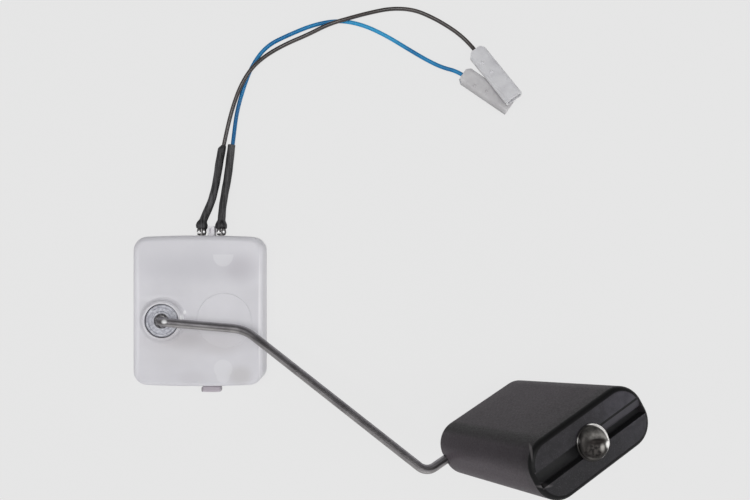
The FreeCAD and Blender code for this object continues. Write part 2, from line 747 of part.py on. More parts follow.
def make_lead(name, points):
    radii = largest_radii(points)
    lead = round_tube(points, radii, LEAD_DIAMETER)
    length = path_wire(points, radii).Length
    section = math.pi * LEAD_RADIUS ** 2
    print(name, "length %.1f" % length, "volume ratio %.4f" % (lead.Volume / (section * length)))
    print("  radii", " ".join("%.0f" % radius for radius in radii))
    return lead


def make_shrink(points, end_run, tapered):
    """Heat-shrunk sleeve over the crimp's end and the first stretch of a lead."""
    radii = largest_radii(points)[:4]
    run = (points[5] - points[4]).normalize()
    first = (points[1] - points[0]).normalize()
    start = points[0] - first * (SHRINK_OVERLAP + LEAD_START_GAP)
    covered = [start] + points[1:5] + [points[4] + run * end_run]
    outer = round_tube(covered, radii, SHRINK_DIAMETER)
    widest = start + first * FLARE_SWELL
    narrowing = FLARE_LENGTH - FLARE_SWELL
    flare = Part.makeCone(FLARE_RADIUS, SHRINK_DIAMETER / 2 - FLARE_SINK, narrowing, widest, first)
    lip = Part.makeCone(FLARE_MOUTH_RADIUS, FLARE_RADIUS, FLARE_SWELL, start, first)
    outer = fused(outer, [lip, flare])
    if tapered:
        wide = SHRINK_DIAMETER / 2
        narrow = LEAD_RADIUS + SHRINK_TIP_WALL
        outer = fused(outer, [Part.makeCone(wide, narrow, SHRINK_TAPER, covered[-1], run)])
        covered[-1] = covered[-1] + run * SHRINK_TAPER
    bore_radius = LEAD_RADIUS + SHRINK_BORE_GAP
    bore = round_tube([start - first] + covered[1:-1] + [covered[-1] + run], radii, 2 * bore_radius)
    mouth = Part.makeCylinder(FLARE_BORE, FLARE_SWELL, start, first)
    throat = Part.makeCone(FLARE_BORE, bore_radius - FLARE_SINK, narrowing, widest, first)
    return outer.cut(bore).cut(mouth).cut(throat)


# Receptacles, drawn along +X from the sleeve's entry

def sleeve_frame(shape, sleeve):
    entry, heading, climb = sleeve
    along = direction(heading, climb)
    across = direction(heading + 90, 0)
    return to_frame(shape, Vector(*entry), along, across, along.cross(across))


def long_edges(shape):
    """Straight edges along X."""
    found = []
    for edge in shape.Edges:
        ends = [vertex.Point for vertex in edge.Vertexes]
        if len(ends) == 2 and math.hypot(ends[0].y - ends[1].y, ends[0].z - ends[1].z) < 1e-6:
            found.append(edge)
    return found


def flat_tube(length, width, height, corner, start=0.0):
    block = box(start, start + length, -width / 2, width / 2, -height / 2, height / 2)
    return block.makeFillet(corner, long_edges(block))


def make_insulating_sleeve(sleeve, length):
    outer = flat_tube(length, SLEEVE_WIDTH, SLEEVE_HEIGHT, SLEEVE_CORNER)
    half = SLEEVE_WIDTH / 2
    corners = []
    for side in (-1, 1):
        outline = polygon([
            Vector(-0.1, side * (half - SLEEVE_CHAMFER), -SLEEVE_HEIGHT),
            Vector(-0.1, side * (half + 0.1), -SLEEVE_HEIGHT),
            Vector(SLEEVE_CHAMFER, side * (half + 0.1), -SLEEVE_HEIGHT),
        ])
        corners.append(prism(outline, Vector(0, 0, 2 * SLEEVE_HEIGHT)))
    bumps = []
    for x, y in SLEEVE_BUMPS:
        bumps.append(Part.makeSphere(SLEEVE_BUMP, Vector(x, -y, SLEEVE_HEIGHT / 2 - SLEEVE_BUMP / 2)))
    outer = fused(outer.cut(Part.makeCompound(corners)), bumps)
    wall = 2 * SLEEVE_WALL
    inside = flat_tube(length + 2 * PAST, SLEEVE_WIDTH - wall, SLEEVE_HEIGHT - wall,
                       SLEEVE_CORNER - SLEEVE_WALL, -PAST)
    return sleeve_frame(outer.cut(inside), sleeve)


def make_receptacle(sleeve):
    """Flat receptacle: rolled body for the tab, neck and closed barrel on the lead's end."""
    start = RECEPTACLE_START
    body = flat_tube(RECEPTACLE_LENGTH, RECEPTACLE_WIDTH, RECEPTACLE_HEIGHT, RECEPTACLE_CORNER, start)
    sheet = 2 * RECEPTACLE_SHEET
    slot = flat_tube(RECEPTACLE_LENGTH + 2 * PAST, RECEPTACLE_WIDTH - sheet, RECEPTACLE_HEIGHT - sheet,
                     RECEPTACLE_CORNER - RECEPTACLE_SHEET, start - PAST)
    seam = box(start - PAST, start + RECEPTACLE_LENGTH + PAST,
               -RECEPTACLE_SEAM / 2, RECEPTACLE_SEAM / 2, 0, RECEPTACLE_HEIGHT)
    body = body.cut(slot).cut(seam)
    floor = -RECEPTACLE_HEIGHT / 2
    neck = box(LEAD_IN_SLEEVE + JOIN, start + PAST, -NECK_WIDTH / 2, NECK_WIDTH / 2,
               floor, floor + RECEPTACLE_SHEET)
    barrel = Part.makeCylinder(BARREL_RADIUS, BARREL_LENGTH, Vector(LEAD_IN_SLEEVE, 0, 0), Vector(1, 0, 0))
    return sleeve_frame(fused(body, [neck, barrel]), sleeve)


# Arm and float

def arm_points():
    """Corner points of the arm, from the foot of its leg to the bend inside the float."""
    points = [Vector(0, 0, ARM_LEG_END), Vector(0, 0, ARM_LEVEL)]
    for run, heading, climb in zip(ARM_RUNS, ARM_HEADINGS_DEG, ARM_CLIMBS_DEG):
        points.append(points[-1] + direction(heading, climb) * run)
    return points


def float_axes():
    """Width, height and length directions of the float. The arm's last run lies along its width."""
    width = direction(ARM_HEADINGS_DEG[2], ARM_CLIMBS_DEG[2])
    upright = Vector(0, 0, 1) - width * width.z
    upright.normalize()
    sideways = width.cross(upright)
    roll = math.radians(FLOAT_ROLL_DEG)
    length = upright * math.cos(roll) + sideways * math.sin(roll)
    return width, length.cross(width), length


def arm_route():
    points = arm_points()
    length = float_axes()[2]
    return points + [points[-1] + length * (FLOAT_LENGTH - WIRE_INSET + WIRE_PAST_FACE)]


def arm_tube(diameter):
    return round_tube(arm_route(), [HUB_BEND_RADIUS] + list(ARM_BEND_RADII), diameter)


def make_arm():
    arm = arm_tube(WIRE_DIAMETER)
    beyond = WIRE_RADIUS + PAST
    flat = box(-beyond, beyond, -beyond, LEG_FLAT_DEPTH - WIRE_RADIUS,
               ARM_LEG_END - PAST, ARM_LEG_END + LEG_FLAT_HEIGHT)
    return arm.cut(flat)


def float_placed(shape):
    width, height, length = float_axes()
    origin = arm_points()[-1] - length * WIRE_INSET
    return to_frame(shape, origin, width, height, length)


def front_groove():
    """Groove in the front end face, closed at both ends. A sloped shelf narrows its outer half."""
    x = FLOAT_WIDTH / 2 - FRONT_GROOVE_END
    half = FRONT_GROOVE_WIDTH / 2
    out = FLOAT_LENGTH + PAST
    deep = FLOAT_LENGTH - FLOAT_GROOVE_DEPTH
    step = FLOAT_LENGTH - FRONT_SHELF_STEP
    shelf = half - FRONT_SHELF_WIDTH
    section = polygon([
        Vector(0, -half, out),
        Vector(0, -half, deep),
        Vector(0, shelf, deep),
        Vector(0, shelf, step - FRONT_SHELF_SLOPE),
        Vector(0, half, step),
        Vector(0, half, out),
    ])
    return fused(box(-x, 0, -half, half, deep, out), [prism(section, Vector(x, 0, 0))])


def rear_groove():
    """Groove in the rear end face, open where the arm's last run comes in, closed at its far end."""
    start = -FLOAT_WIDTH / 2 - PAST
    half = REAR_GROOVE_WIDTH / 2
    return box(start, WIRE_RADIUS + PAST, -half, half, -PAST, FLOAT_GROOVE_DEPTH)


def make_float():
    half_width = FLOAT_WIDTH / 2
    half_height = FLOAT_THICKNESS / 2
    corner = half_height - FLOAT_SIDE_FLAT / 2
    body = plate_block(-half_width, half_width, -half_height, half_height, 0, FLOAT_LENGTH, corner)
    body = body.makeFillet(FLOAT_BEVEL, edges_at(body, 0) + edges_at(body, FLOAT_LENGTH))
    body = float_placed(body.cut(Part.makeCompound([rear_groove(), front_groove()])))
    return body.cut(arm_tube(WIRE_DIAMETER + 2 * FLOAT_FIT))


def dome(radius, base, height):
    """Spherical cap over a circle, from its base plane to its top."""
    rise = height - base
    sphere_radius = (radius ** 2 + rise ** 2) / (2 * rise)
    ball = Part.makeSphere(sphere_radius, Vector(0, 0, height - sphere_radius))
    return ball.common(cylinder(sphere_radius, base, height + PAST))


def make_cap():
    """Domed push-on cap, with a gripping plate inside it."""
    rim = cylinder(CAP_RADIUS, 0, CAP_RIM)
    rim = rim.makeFillet(CAP_RIM * 0.4, edges_at(rim, CAP_RIM))
    cap = fused(rim, [dome(CAP_SHOULDER, CAP_RIM * 0.5, CAP_HEIGHT)])
    cap = cap.cut(dome(CAP_SHOULDER - CAP_SHEET, CAP_RIM, CAP_HEIGHT - CAP_SHEET))
    cap = cap.cut(cylinder(WIRE_RADIUS + WIRE_FIT, -PAST, CAP_HEIGHT - 2 * CAP_SHEET))
    cap.translate(Vector(0, 0, FLOAT_LENGTH))
    return float_placed(cap)


def build():
    black = lead_route(BLACK_ROUTE, BLACK_SLEEVE)
    blue = lead_route(BLUE_ROUTE, BLUE_SLEEVE)
    return {
        "housing_cover": make_cover(),
        "back_plate": make_back_plate(),
        "rotor": make_rotor(),
        "arm_ferrule": make_ferrule(),
        "magnet": magnet_block(0),
        "resistor_board": make_board(),
        "spacer_strip": make_spacer(),
        "contact_comb": make_foil(),
        "element_lid": make_lid(),
        "terminal_left": make_terminal(TERMINAL_X[0]),
        "terminal_right": make_terminal(TERMINAL_X[1]),
        "shrink_sleeve_left": make_shrink(black, SHRINK_END_RUNS[0], True),
        "shrink_sleeve_right": make_shrink(blue, SHRINK_END_RUNS[1], False),
        "lead_black": make_lead("lead_black", black),
        "lead_blue": make_lead("lead_blue", blue),
        "receptacle_black": make_receptacle(BLACK_SLEEVE),
        "receptacle_blue": make_receptacle(BLUE_SLEEVE),
        "insulating_sleeve_black": make_insulating_sleeve(BLACK_SLEEVE, BLACK_SLEEVE_LENGTH),
        "insulating_sleeve_blue": make_insulating_sleeve(BLUE_SLEEVE, BLUE_SLEEVE_LENGTH),
        "arm_wire": make_arm(),
        "float": make_float(),
        "retainer_cap": make_cap(),
    }


os.makedirs("parts", exist_ok=True)
for node, shape in build().items():
    solids = shape.Solids
    result = solids[0] if len(solids) == 1 else Part.makeCompound(solids)
    extent = result.BoundBox
    print("%-24s solids %d valid %s volume %.1f" % (node, len(solids), result.isValid(), result.Volume))
    print("  x %.1f..%.1f" % (extent.XMin, extent.XMax), "y %.1f..%.1f" % (extent.YMin, extent.YMax),
          "z %.1f..%.1f" % (extent.ZMin, extent.ZMax))
    result.exportStep("parts/" + node + ".step")
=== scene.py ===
"""Looks of the fuel level sensor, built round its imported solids. Lengths are metres.

The frame's origin is on the arm's pivot axis, in the plane of the housing's flat back, which lies
on the floor. +X points to the float's side and +Y to the side where the leads leave.
"""

import math

import bpy
from mathutils import Matrix, Vector


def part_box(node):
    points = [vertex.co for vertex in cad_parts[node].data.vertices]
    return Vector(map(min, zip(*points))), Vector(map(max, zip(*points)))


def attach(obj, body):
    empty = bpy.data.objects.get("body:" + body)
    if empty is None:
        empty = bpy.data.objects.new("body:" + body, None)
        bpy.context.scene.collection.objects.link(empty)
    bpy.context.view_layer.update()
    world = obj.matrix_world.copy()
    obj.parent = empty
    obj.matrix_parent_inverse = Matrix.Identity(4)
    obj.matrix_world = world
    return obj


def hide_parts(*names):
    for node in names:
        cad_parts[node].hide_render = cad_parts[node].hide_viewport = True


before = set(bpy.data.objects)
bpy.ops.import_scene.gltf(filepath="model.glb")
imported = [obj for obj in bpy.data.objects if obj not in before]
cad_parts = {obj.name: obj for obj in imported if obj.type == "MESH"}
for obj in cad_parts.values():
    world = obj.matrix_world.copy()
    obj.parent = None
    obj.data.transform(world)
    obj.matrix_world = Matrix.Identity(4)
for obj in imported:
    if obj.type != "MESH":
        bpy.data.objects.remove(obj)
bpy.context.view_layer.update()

MM = 0.001

# Camera, straight over the arm. Its lens and sensor are millimetres.
CAMERA_PLACE = (66.8 * MM, 22.2 * MM, 294.8 * MM)
CAMERA_LENS = 43.2
CAMERA_SENSOR = 36.0

# Leads. Their points are millimetres, as in the part's source.
LEAD_DIAMETER = 1.3 * MM
LEAD_START = 29.9
CRIMP_LEVEL = 2.48
LEFT_CRIMP = 10.5
RIGHT_CRIMP = 16.9
# Painted highlights on the crimps' rolled wings: their Y, and their offset each side of a crimp's
# middle in millimetres
CRIMP_PAINTED_HIGHLIGHT = 28.0 * MM
CRIMP_PAINTED_HIGHLIGHT_OFFSET = 0.8
BLACK_LENGTH = 0.1411
BLUE_LENGTH = 0.1352
BLACK_ROUTE = (
    (LEFT_CRIMP, LEAD_START, CRIMP_LEVEL),
    (10.75, 31.5, 2.4),
    (14.0, 38.3, 2.05),
    (15.6, 45.0, 1.75),
    (16.5, 51.2, 1.5),
    (17.7, 57.8, 0.95),
    (19.2, 64.8, 0.65),
    (20.9, 70.4, 1.1),
    (23.2, 75.8, 2.2),
    (26.6, 81.4, 2.2),
    (31.4, 86.0, 0.8),
    (37.8, 89.6, 0.65),
    (45.0, 92.6, 0.8),
    (51.6, 95.6, 2.2),
    (58.4, 97.6, 2.2),
    (65.2, 99.8, 0.7),
    (72.2, 101.2, 0.65),
    (79.4, 100.8, 0.65),
    (85.6, 98.2, 0.7),
    (90.9, 95.1, 0.8),
    (95.0, 92.1, 1.0),
)
BLUE_ROUTE = (
    (RIGHT_CRIMP, LEAD_START, CRIMP_LEVEL),
    (17.0, 34.4, 2.35),
    (18.2, 40.8, 2.1),
    (19.4, 47.2, 1.75),
    (20.0, 52.8, 1.5),
    (20.7, 59.6, 0.95),
    (21.6, 67.2, 0.65),
    (23.7, 74.8, 0.65),
    (26.6, 82.6, 0.65),
    (31.4, 89.0, 0.65),
    (38.6, 92.5, 0.65),
    (46.6, 95.8, 0.65),
    (54.8, 97.3, 0.65),
    (62.6, 95.9, 0.65),
    (70.2, 92.4, 0.65),
    (77.4, 88.0, 0.65),
    (83.8, 84.2, 0.7),
    (88.8, 81.7, 1.15),
)
# X of the top of the blue lead's curve, where a highlight is painted, in metres
BLUE_TOP = 66 * MM
# Each insulating sleeve's entry, with its heading and climb in degrees
BLACK_SLEEVE = ((99.55, 87.05, 1.75), -54.5, 14.8)
BLUE_SLEEVE = ((95.3, 79.4, 1.75), -34.3, 0.0)
BEFORE_SLEEVE = 1.5
LEAD_IN_SLEEVE = 4.0

# Shrink sleeves
SHRINK_RADIUS = 1.25 * MM
SHRINK_BORE = 0.7 * MM
SHRINK_LENGTHS = (26.6 * MM, 27.7 * MM)
SHRINK_OVER_CRIMP = 0.8 * MM
SHRINK_STEP = 0.2 * MM
SHRINK_SIDES = 56
MOUTH_RADIUS = 1.9 * MM
MOUTH_LENGTH = 3.6 * MM
MOUTH_RAGGED = 0.07 * MM
MOUTH_WALL = 0.5 * MM
# The mouth swells along part of a half wave, flattened on top and with three low lobes
SWELL_START = 0.25
SWELL_RATE = 0.95
SWELL_END = 0.79
SWELL_POWER = 1.3
MOUTH_FLATNESS = 0.22
MOUTH_LOBES = 0.12
THIN_WALL = 0.1 * MM
TIP_TAPER = 1.6 * MM
TIP_WALL = 0.12 * MM
# Height and pitch of a shrunk sleeve's slow twist, its dimples and its ripples
TWIST = (0.035 * MM, 3.1 * MM)
DIMPLES = (0.028 * MM, 1.9 * MM)
RIPPLES = (0.02 * MM, 0.8 * MM)
# The lead leaves a shrunk sleeve this far to the right of the sleeve's middle.
TIP_LEAN = 0.35 * MM
TIP_LEAN_RATE = 1.25

# The painted highlight on the arm's first bend
BEND_GLINT = (2.0 * MM, 0.1 * MM, 17.0 * MM)
BEND_GLINT_REACH = (1.0 * MM, 0.7 * MM, 2.0 * MM)
# X from which the arm's first run gives way to its long one, and where that is complete
SECOND_BEND = (24 * MM, 34 * MM)

# The float's axes: heading and climb of its width, and its roll about that, in degrees
FLOAT_HEADING = 29.9
FLOAT_CLIMB = -20.0
FLOAT_ROLL = 4.1

# Half widths of the float's grooves, inside the bevels, and their depth
GROOVE_ACROSS = 2.3 * MM
GROOVE_ALONG = 17.2 * MM
GROOVE_SHELF_DEPTH = 1.2 * MM
GROOVE_EDGE = 0.1 * MM
# Where the float's top turns into its shoulder, on which shade is painted, from the middle of its
# width
SHOULDER_AT = 12.5 * MM
# Strips along the outer half of the front face, painted light on the shelf and a painted shadow
# line at its step: middle, half height, share and colour
FACE_STRIPS = (
    (1.3 * MM, 0.7 * MM, 0.6, (72, 71, 75)),
    (2.25 * MM, 0.3 * MM, 1.0, (8, 8, 9)),
)

# Centre and reach of each painted highlight on the float's bevel, in millimetres
BEVEL_PAINTED_HIGHLIGHTS = (
    ((104.4, -26.0, 78.3), (0.25, 2.0, 3.0)),
    ((107.4, -34.5, 79.0), (1.8, 0.35, 3.0)),
)

# Cap on the arm's end
CAP_RADIUS = 4.6 * MM
CAP_RIM = 0.45 * MM
CAP_SHOULDER = 4.35 * MM
CAP_HEIGHT = 2.0 * MM
CAP_SHEET = 0.35 * MM
CAP_SIDES = 128
CAP_RINGS = 40
CAP_INNER_RINGS = 34
CAP_RING_POWER = 1.6
CAP_DOME_POWER = 4.2
CAP_INNER_LOWEST = 0.05 * MM
# Turn of the cap's marks about its axis, from the float's width
CAP_TURN = -28.4
# Dents and bump of the cap's dome, in millimetres: centre, reach and height
CAP_FORMS = (
    (-0.5, 0.5, 0.75, -0.12),
    (0.3, 0.42, 0.75, -0.12),
    (1.1, 0.34, 0.75, -0.12),
    (1.9, 0.26, 0.75, -0.12),
    (-1.3, -1.9, 1.5, -0.1),
    (3.5, -0.2, 0.75, 0.3),
)

# Room and lamps. Each lamp has its place, aim, width, height and power.
WHITE_LEVEL = 231
FLOOR_HALF = 2.5
FLOOR_PLACE = (0.06, 0.02, -0.05 * MM)
FLOOR_PLAIN_SHARE = 0.92
ROOM_BRIGHT = (0.46, 0.46, 0.46, 1.0)
ROOM_DIM = (0.14, 0.14, 0.14, 1.0)
AIM = (0.06, 0.02, 0.0)
HOUSING_AIM = (0.03, 0.0, 0.01)
LAMPS = {
    "key": ((0.0, 0.08, 0.9), AIM, 0.45, 0.45, 2.9),
    "edge": ((0.55, 0.02, 0.65), HOUSING_AIM, 0.06, 0.5, 0.5),
    "side": ((0.8, 0.0, 0.14), HOUSING_AIM, 0.15, 0.7, 1.2),
    "low": ((0.1, -0.7, 0.3), AIM, 0.8, 0.2, 0.8),
    "glint": ((-0.5, -0.05, 0.75), AIM, 0.1, 0.1, 0.3),
}


def colour(red, green, blue):
    """A colour as a screen shows it, from 0 to 255, in the shader's own values."""
    def channel(level):
        share = level / 255
        return share / 12.92 if share <= 0.04045 else ((share + 0.055) / 1.055) ** 2.4
    return (channel(red), channel(green), channel(blue), 1.0)


def direction(heading, climb):
    flat = math.cos(math.radians(climb))
    turn = math.radians(heading)
    return Vector((flat * math.cos(turn), flat * math.sin(turn), math.sin(math.radians(climb))))


def float_axes():
    """Directions of the float's width, height and length."""
    width = direction(FLOAT_HEADING, FLOAT_CLIMB)
    upright = (Vector((0, 0, 1)) - width * width.z).normalized()
    sideways = width.cross(upright)
    roll = math.radians(FLOAT_ROLL)
    length = upright * math.cos(roll) + sideways * math.sin(roll)
    return width, length.cross(width), length


# Shader nodes

def add(tree, kind, inputs=None, **settings):
    """A node with its settings. An input given as a socket is linked, and any other is set."""
    node = tree.nodes.new(kind)
    for name, value in settings.items():
        setattr(node, name, value)
    for name, value in (inputs or {}).items():
        if isinstance(value, bpy.types.NodeSocket):
            tree.links.new(value, node.inputs[name])
        else:
            node.inputs[name].default_value = value
    return node


def blend_colour(tree, share, first, second):
    """Colour output of a mix: first where share is 0, second where it is 1."""
    first_colour, second_colour, colour_output = 6, 7, 2
    node = add(tree, "ShaderNodeMix", {0: share, first_colour: first, second_colour: second},
               data_type="RGBA")
    return node.outputs[colour_output]


def math_of(tree, operation, first, second=0.0):
    return add(tree, "ShaderNodeMath", {0: first, 1: second}, operation=operation).outputs[0]


def both(tree, first, second):
    """A mask that shows where two masks do."""
    return math_of(tree, "MULTIPLY", first, second)


def apart(tree, value, middle):
    """How far a value is from a middle one, either way."""
    return math_of(tree, "ABSOLUTE", math_of(tree, "SUBTRACT", value, middle))


def along(tree, vector, way):
    """A vector's length along a direction."""
    dot = add(tree, "ShaderNodeVectorMath", {0: vector, 1: way}, operation="DOT_PRODUCT")
    return dot.outputs["Value"]


def part_of(tree, vector, axis):
    return add(tree, "ShaderNodeSeparateXYZ", {0: vector}).outputs[axis]


def remap(tree, value, low, high, start=0.0, end=1.0):
    """Smooth change from start to end while value goes from low to high."""
    node = add(tree, "ShaderNodeMapRange",
               {"Value": value, "From Min": low, "From Max": high, "To Min": start, "To Max": end},
               interpolation_type="SMOOTHSTEP")
    return node.outputs["Result"]


def new_group(name, inputs, outputs):
    """An empty effect. Each input is (name, kind, value), and each output (name, kind)."""
    tree = bpy.data.node_groups.new(name, "ShaderNodeTree")
    for label, kind, value in inputs:
        socket = tree.interface.new_socket(name=label, in_out="INPUT",
                                           socket_type="NodeSocket" + kind)
        socket.default_value = value
    for label, kind in outputs:
        tree.interface.new_socket(name=label, in_out="OUTPUT", socket_type="NodeSocket" + kind)
    return tree, tree.nodes.new("NodeGroupInput").outputs, tree.nodes.new("NodeGroupOutput").inputs


def make_tone_drift():
    """Slow, cloudy change between two colours."""
    tree, given, out = new_group(
        "tone drift",
        [("Place", "Vector", (0, 0, 0)), ("Scale", "Float", 200.0),
         ("First", "Color", (1, 1, 1, 1)), ("Second", "Color", (0, 0, 0, 1))],
        [("Colour", "Color")])
    noise = add(tree, "ShaderNodeTexNoise",
                {"Vector": given["Place"], "Scale": given["Scale"],
                 "Detail": 4.0, "Roughness": 0.55})
    share = remap(tree, noise.outputs["Fac"], 0.32, 0.68)
    tree.links.new(blend_colour(tree, share, given["First"], given["Second"]), out["Colour"])
    return tree


def make_fine_grain():
    """Moulded or cut grain: a height, and a roughness that goes with it."""
    tree, given, out = new_group(
        "fine grain",
        [("Place", "Vector", (0, 0, 0)), ("Scale", "Float", 2000.0), ("Smooth", "Float", 0.3),
         ("Rough", "Float", 0.5)],
        [("Height", "Float"), ("Roughness", "Float")])
    noise = add(tree, "ShaderNodeTexNoise",
                {"Vector": given["Place"], "Scale": given["Scale"],
                 "Detail": 3.0, "Roughness": 0.6})
    tree.links.new(noise.outputs["Fac"], out["Height"])
    spread = add(tree, "ShaderNodeMapRange",
                 {"Value": noise.outputs["Fac"], "From Min": 0.3, "From Max": 0.7,
                  "To Min": given["Smooth"], "To Max": given["Rough"]})
    tree.links.new(spread.outputs["Result"], out["Roughness"])
    return tree


def make_patch():
    """Soft-edged oval: 1 inside and 0 outside."""
    tree, given, out = new_group(
        "patch",
        [("Place", "Vector", (0, 0, 0)), ("Centre", "Vector", (0, 0, 0)),
         ("Reach", "Vector", (1, 1, 1)), ("Edge", "Float", 0.5)],
        [("Mask", "Float")])
    offset = add(tree, "ShaderNodeVectorMath", {0: given["Place"], 1: given["Centre"]},
                 operation="SUBTRACT")
    scaled = add(tree, "ShaderNodeVectorMath", {0: offset.outputs[0], 1: given["Reach"]},
                 operation="DIVIDE")
    far = add(tree, "ShaderNodeVectorMath", {0: scaled.outputs[0]}, operation="LENGTH")
    inner = math_of(tree, "SUBTRACT", 1.0, given["Edge"])
    outer = math_of(tree, "ADD", 1.0, given["Edge"])
    mask = add(tree, "ShaderNodeMapRange",
               {"Value": far.outputs["Value"], "From Min": inner, "From Max": outer,
                "To Min": 1.0, "To Max": 0.0}, interpolation_type="SMOOTHSTEP")
    tree.links.new(mask.outputs["Result"], out["Mask"])
    return tree


def make_fine_scratches():
    """Short thin marks in two crossing directions: 1 on a mark."""
    tree, given, out = new_group(
        "fine scratches",
        [("Place", "Vector", (0, 0, 0)), ("Scale", "Float", 400.0), ("Amount", "Float", 0.3)],
        [("Mask", "Float")])
    marks = []
    for turn in (0.5, -1.1):
        turned = add(tree, "ShaderNodeMapping",
                     {"Vector": given["Place"], "Rotation": (0.3, turn, turn),
                      "Scale": (1.0, 14.0, 3.0)})
        noise = add(tree, "ShaderNodeTexNoise",
                    {"Vector": turned.outputs["Vector"], "Scale": given["Scale"], "Detail": 2.0})
        marks.append(remap(tree, noise.outputs["Fac"], 0.6, 0.72))
    either = math_of(tree, "MAXIMUM", marks[0], marks[1])
    tree.links.new(math_of(tree, "MULTIPLY", either, given["Amount"]), out["Mask"])
    return tree


TONE_DRIFT = make_tone_drift()
FINE_GRAIN = make_fine_grain()
PATCH = make_patch()
FINE_SCRATCHES = make_fine_scratches()


class Finish:
    """A material: its Principled shader, and the place on the piece that its effects read."""

    def __init__(self, name, **sockets):
        self.material = bpy.data.materials.new(name)
        self.material.use_nodes = True
        self.tree = self.material.node_tree
        self.shader = self.tree.nodes["Principled BSDF"]
        for label, value in sockets.items():
            self.shader.inputs[label.replace("_", " ")].default_value = value
        self.coordinates = self.tree.nodes.new("ShaderNodeTexCoord").outputs
        self.place = self.coordinates["Object"]

    def effect(self, group, **inputs):
        """The outputs of an effect placed in this material."""
        node = self.tree.nodes.new("ShaderNodeGroup")
        node.node_tree = group
        given = {"Place": self.place}
        given.update(inputs)
        for label, value in given.items():
            if isinstance(value, bpy.types.NodeSocket):
                self.tree.links.new(value, node.inputs[label])
            else:
                node.inputs[label].default_value = value
        return node.outputs

    def base(self, first, second, scale):
        return self.effect(TONE_DRIFT, First=first, Second=second, Scale=scale)["Colour"]

    def grain(self, scale, smooth, rough):
        """The outputs of a grain, with its roughness from smooth to rough."""
        return self.effect(FINE_GRAIN, Scale=scale, Smooth=smooth, Rough=rough)

    def paint(self, mask, first, second, share=1.0):
        """The second colour over the first, where a mask shows it, as strongly as share says."""
        if share != 1.0:
            mask = math_of(self.tree, "MULTIPLY", mask, share)
        return blend_colour(self.tree, mask, first, second)

    def patch(self, centre, reach, edge, place=None):
        """Mask of a soft-edged oval."""
        return self.effect(PATCH, Place=place or self.place, Centre=centre, Reach=reach,
                           Edge=edge)["Mask"]

    def towards(self, way):
        """How much the surface looks along a direction."""
        return along(self.tree, self.coordinates["Normal"], way)

    def wear(self, tone, grain, bump, distance, height=None):
        """Feed the shader. The height, the grain's own if no other is given, makes a bump."""
        links = self.tree.links
        links.new(tone, self.shader.inputs["Base Color"])
        links.new(grain["Roughness"], self.shader.inputs["Roughness"])
        raised = add(self.tree, "ShaderNodeBump",
                     {"Height": height or grain["Height"], "Strength": bump, "Distance": distance})
        links.new(raised.outputs["Normal"], self.shader.inputs["Normal"])
        return self.material


# Finishes

COVER_TONES = (colour(219, 218, 223), colour(214, 213, 218))
# Soft ovals of tone on the cover's front, for what shows through it and for painted shade and
# painted highlights: centre and reach in millimetres, softness, share, colour
COVER_TONE_AND_PAINTED_LIGHT = (
    # Darker band over the element behind the wall: painted shade of the inner parts, seen faintly
    # through
    (16.0, 21.0, 12.0, 5.0, 0.8, 0.35, (206, 205, 210)),
    (9.5, 16.7, 15.0, 3.9, 0.85, 0.65, (200, 199, 205)),
    (24.2, 16.4, 4.4, 3.8, 0.85, 0.6, (187, 184, 191)),
    # Painted shadow of the arm, partly the magnet's carrier showing through
    (10.5, -6.1, 15.0, 3.4, 0.7, 0.7, (196, 193, 197)),
    (6.0, -5.8, 5.5, 2.2, 0.8, 0.8, (182, 179, 183)),
    (18.0, -8.5, 5.0, 2.5, 0.7, 0.5, (200, 197, 200)),
    # Painted highlights along the front's left and right edges, and painted light on the right side
    # wall
    (30.4, 1.0, 0.3, 19.0, 0.3, 0.5, (250, 250, 252)),
    (-8.4, 2.0, 1.0, 22.0, 0.4, 0.5, (240, 239, 244)),
    (31.3, 2.0, 1.2, 22.0, 0.4, 0.35, (238, 237, 241)),
    # Painted light over the top of the boss
    (-1.0, 6.9, 5.0, 1.0, 0.6, 0.3, (242, 241, 245)),
    (24.3, -17.3, 3.4, 2.8, 0.6, 0.7, (198, 196, 198)),
    (9.5, -18.0, 4.0, 2.0, 0.7, 0.5, (203, 201, 206)),
    # Painted shadow under the arm
    (3.0, -9.5, 8.5, 4.6, 0.6, 0.4, (206, 204, 207)),
    # Painted highlights on the boss
    (6.2, 1.0, 0.4, 1.0, 0.5, 0.8, (250, 250, 252)),
    (6.9, 2.6, 0.4, 0.6, 0.5, 0.8, (250, 250, 252)),
)

# The round pad, and where the posts touch the front wall, as ovals
PAD = (19.3, 0.0, 8.5, 8.5, 0.06)
PAD_SHARE = 0.12
UPPER_POST = (19.0, 20.6, 3.2, 3.6, 0.07)
UPPER_POST_FLAT = (20.6 * MM, 21.0 * MM)
LOWER_POST_HEAD = (19.0, -15.2, 2.9, 2.9, 0.08)
LOWER_POST_TAIL = (19.0, -17.2, 2.1, 2.6, 0.1)
POST_SHARE = 0.36

# Painted shade across the latch tab, darker at its ends: X and reach in millimetres, share and
# colour
LATCH_LEVEL = (-22.6 * MM, 1.3 * MM)
LATCH_PAINTED_SHADE = (
    (13.6, 4.6, 1.0, (176, 168, 176)),
    (10.6, 0.5, 0.8, (128, 122, 128)),
    (16.7, 0.5, 0.8, (150, 144, 150)),
)


def acetal(name, first, second, smooth=0.36, rough=0.46):
    """Natural acetal: milky, slightly see-through and softly glossy."""
    finish = Finish(name, Subsurface_Weight=0.35, Subsurface_Radius=(1.0, 0.98, 1.0),
                    Subsurface_Scale=1.6 * MM, IOR=1.48)
    return finish, finish.base(first, second, 70.0), finish.grain(1400.0, smooth, rough)


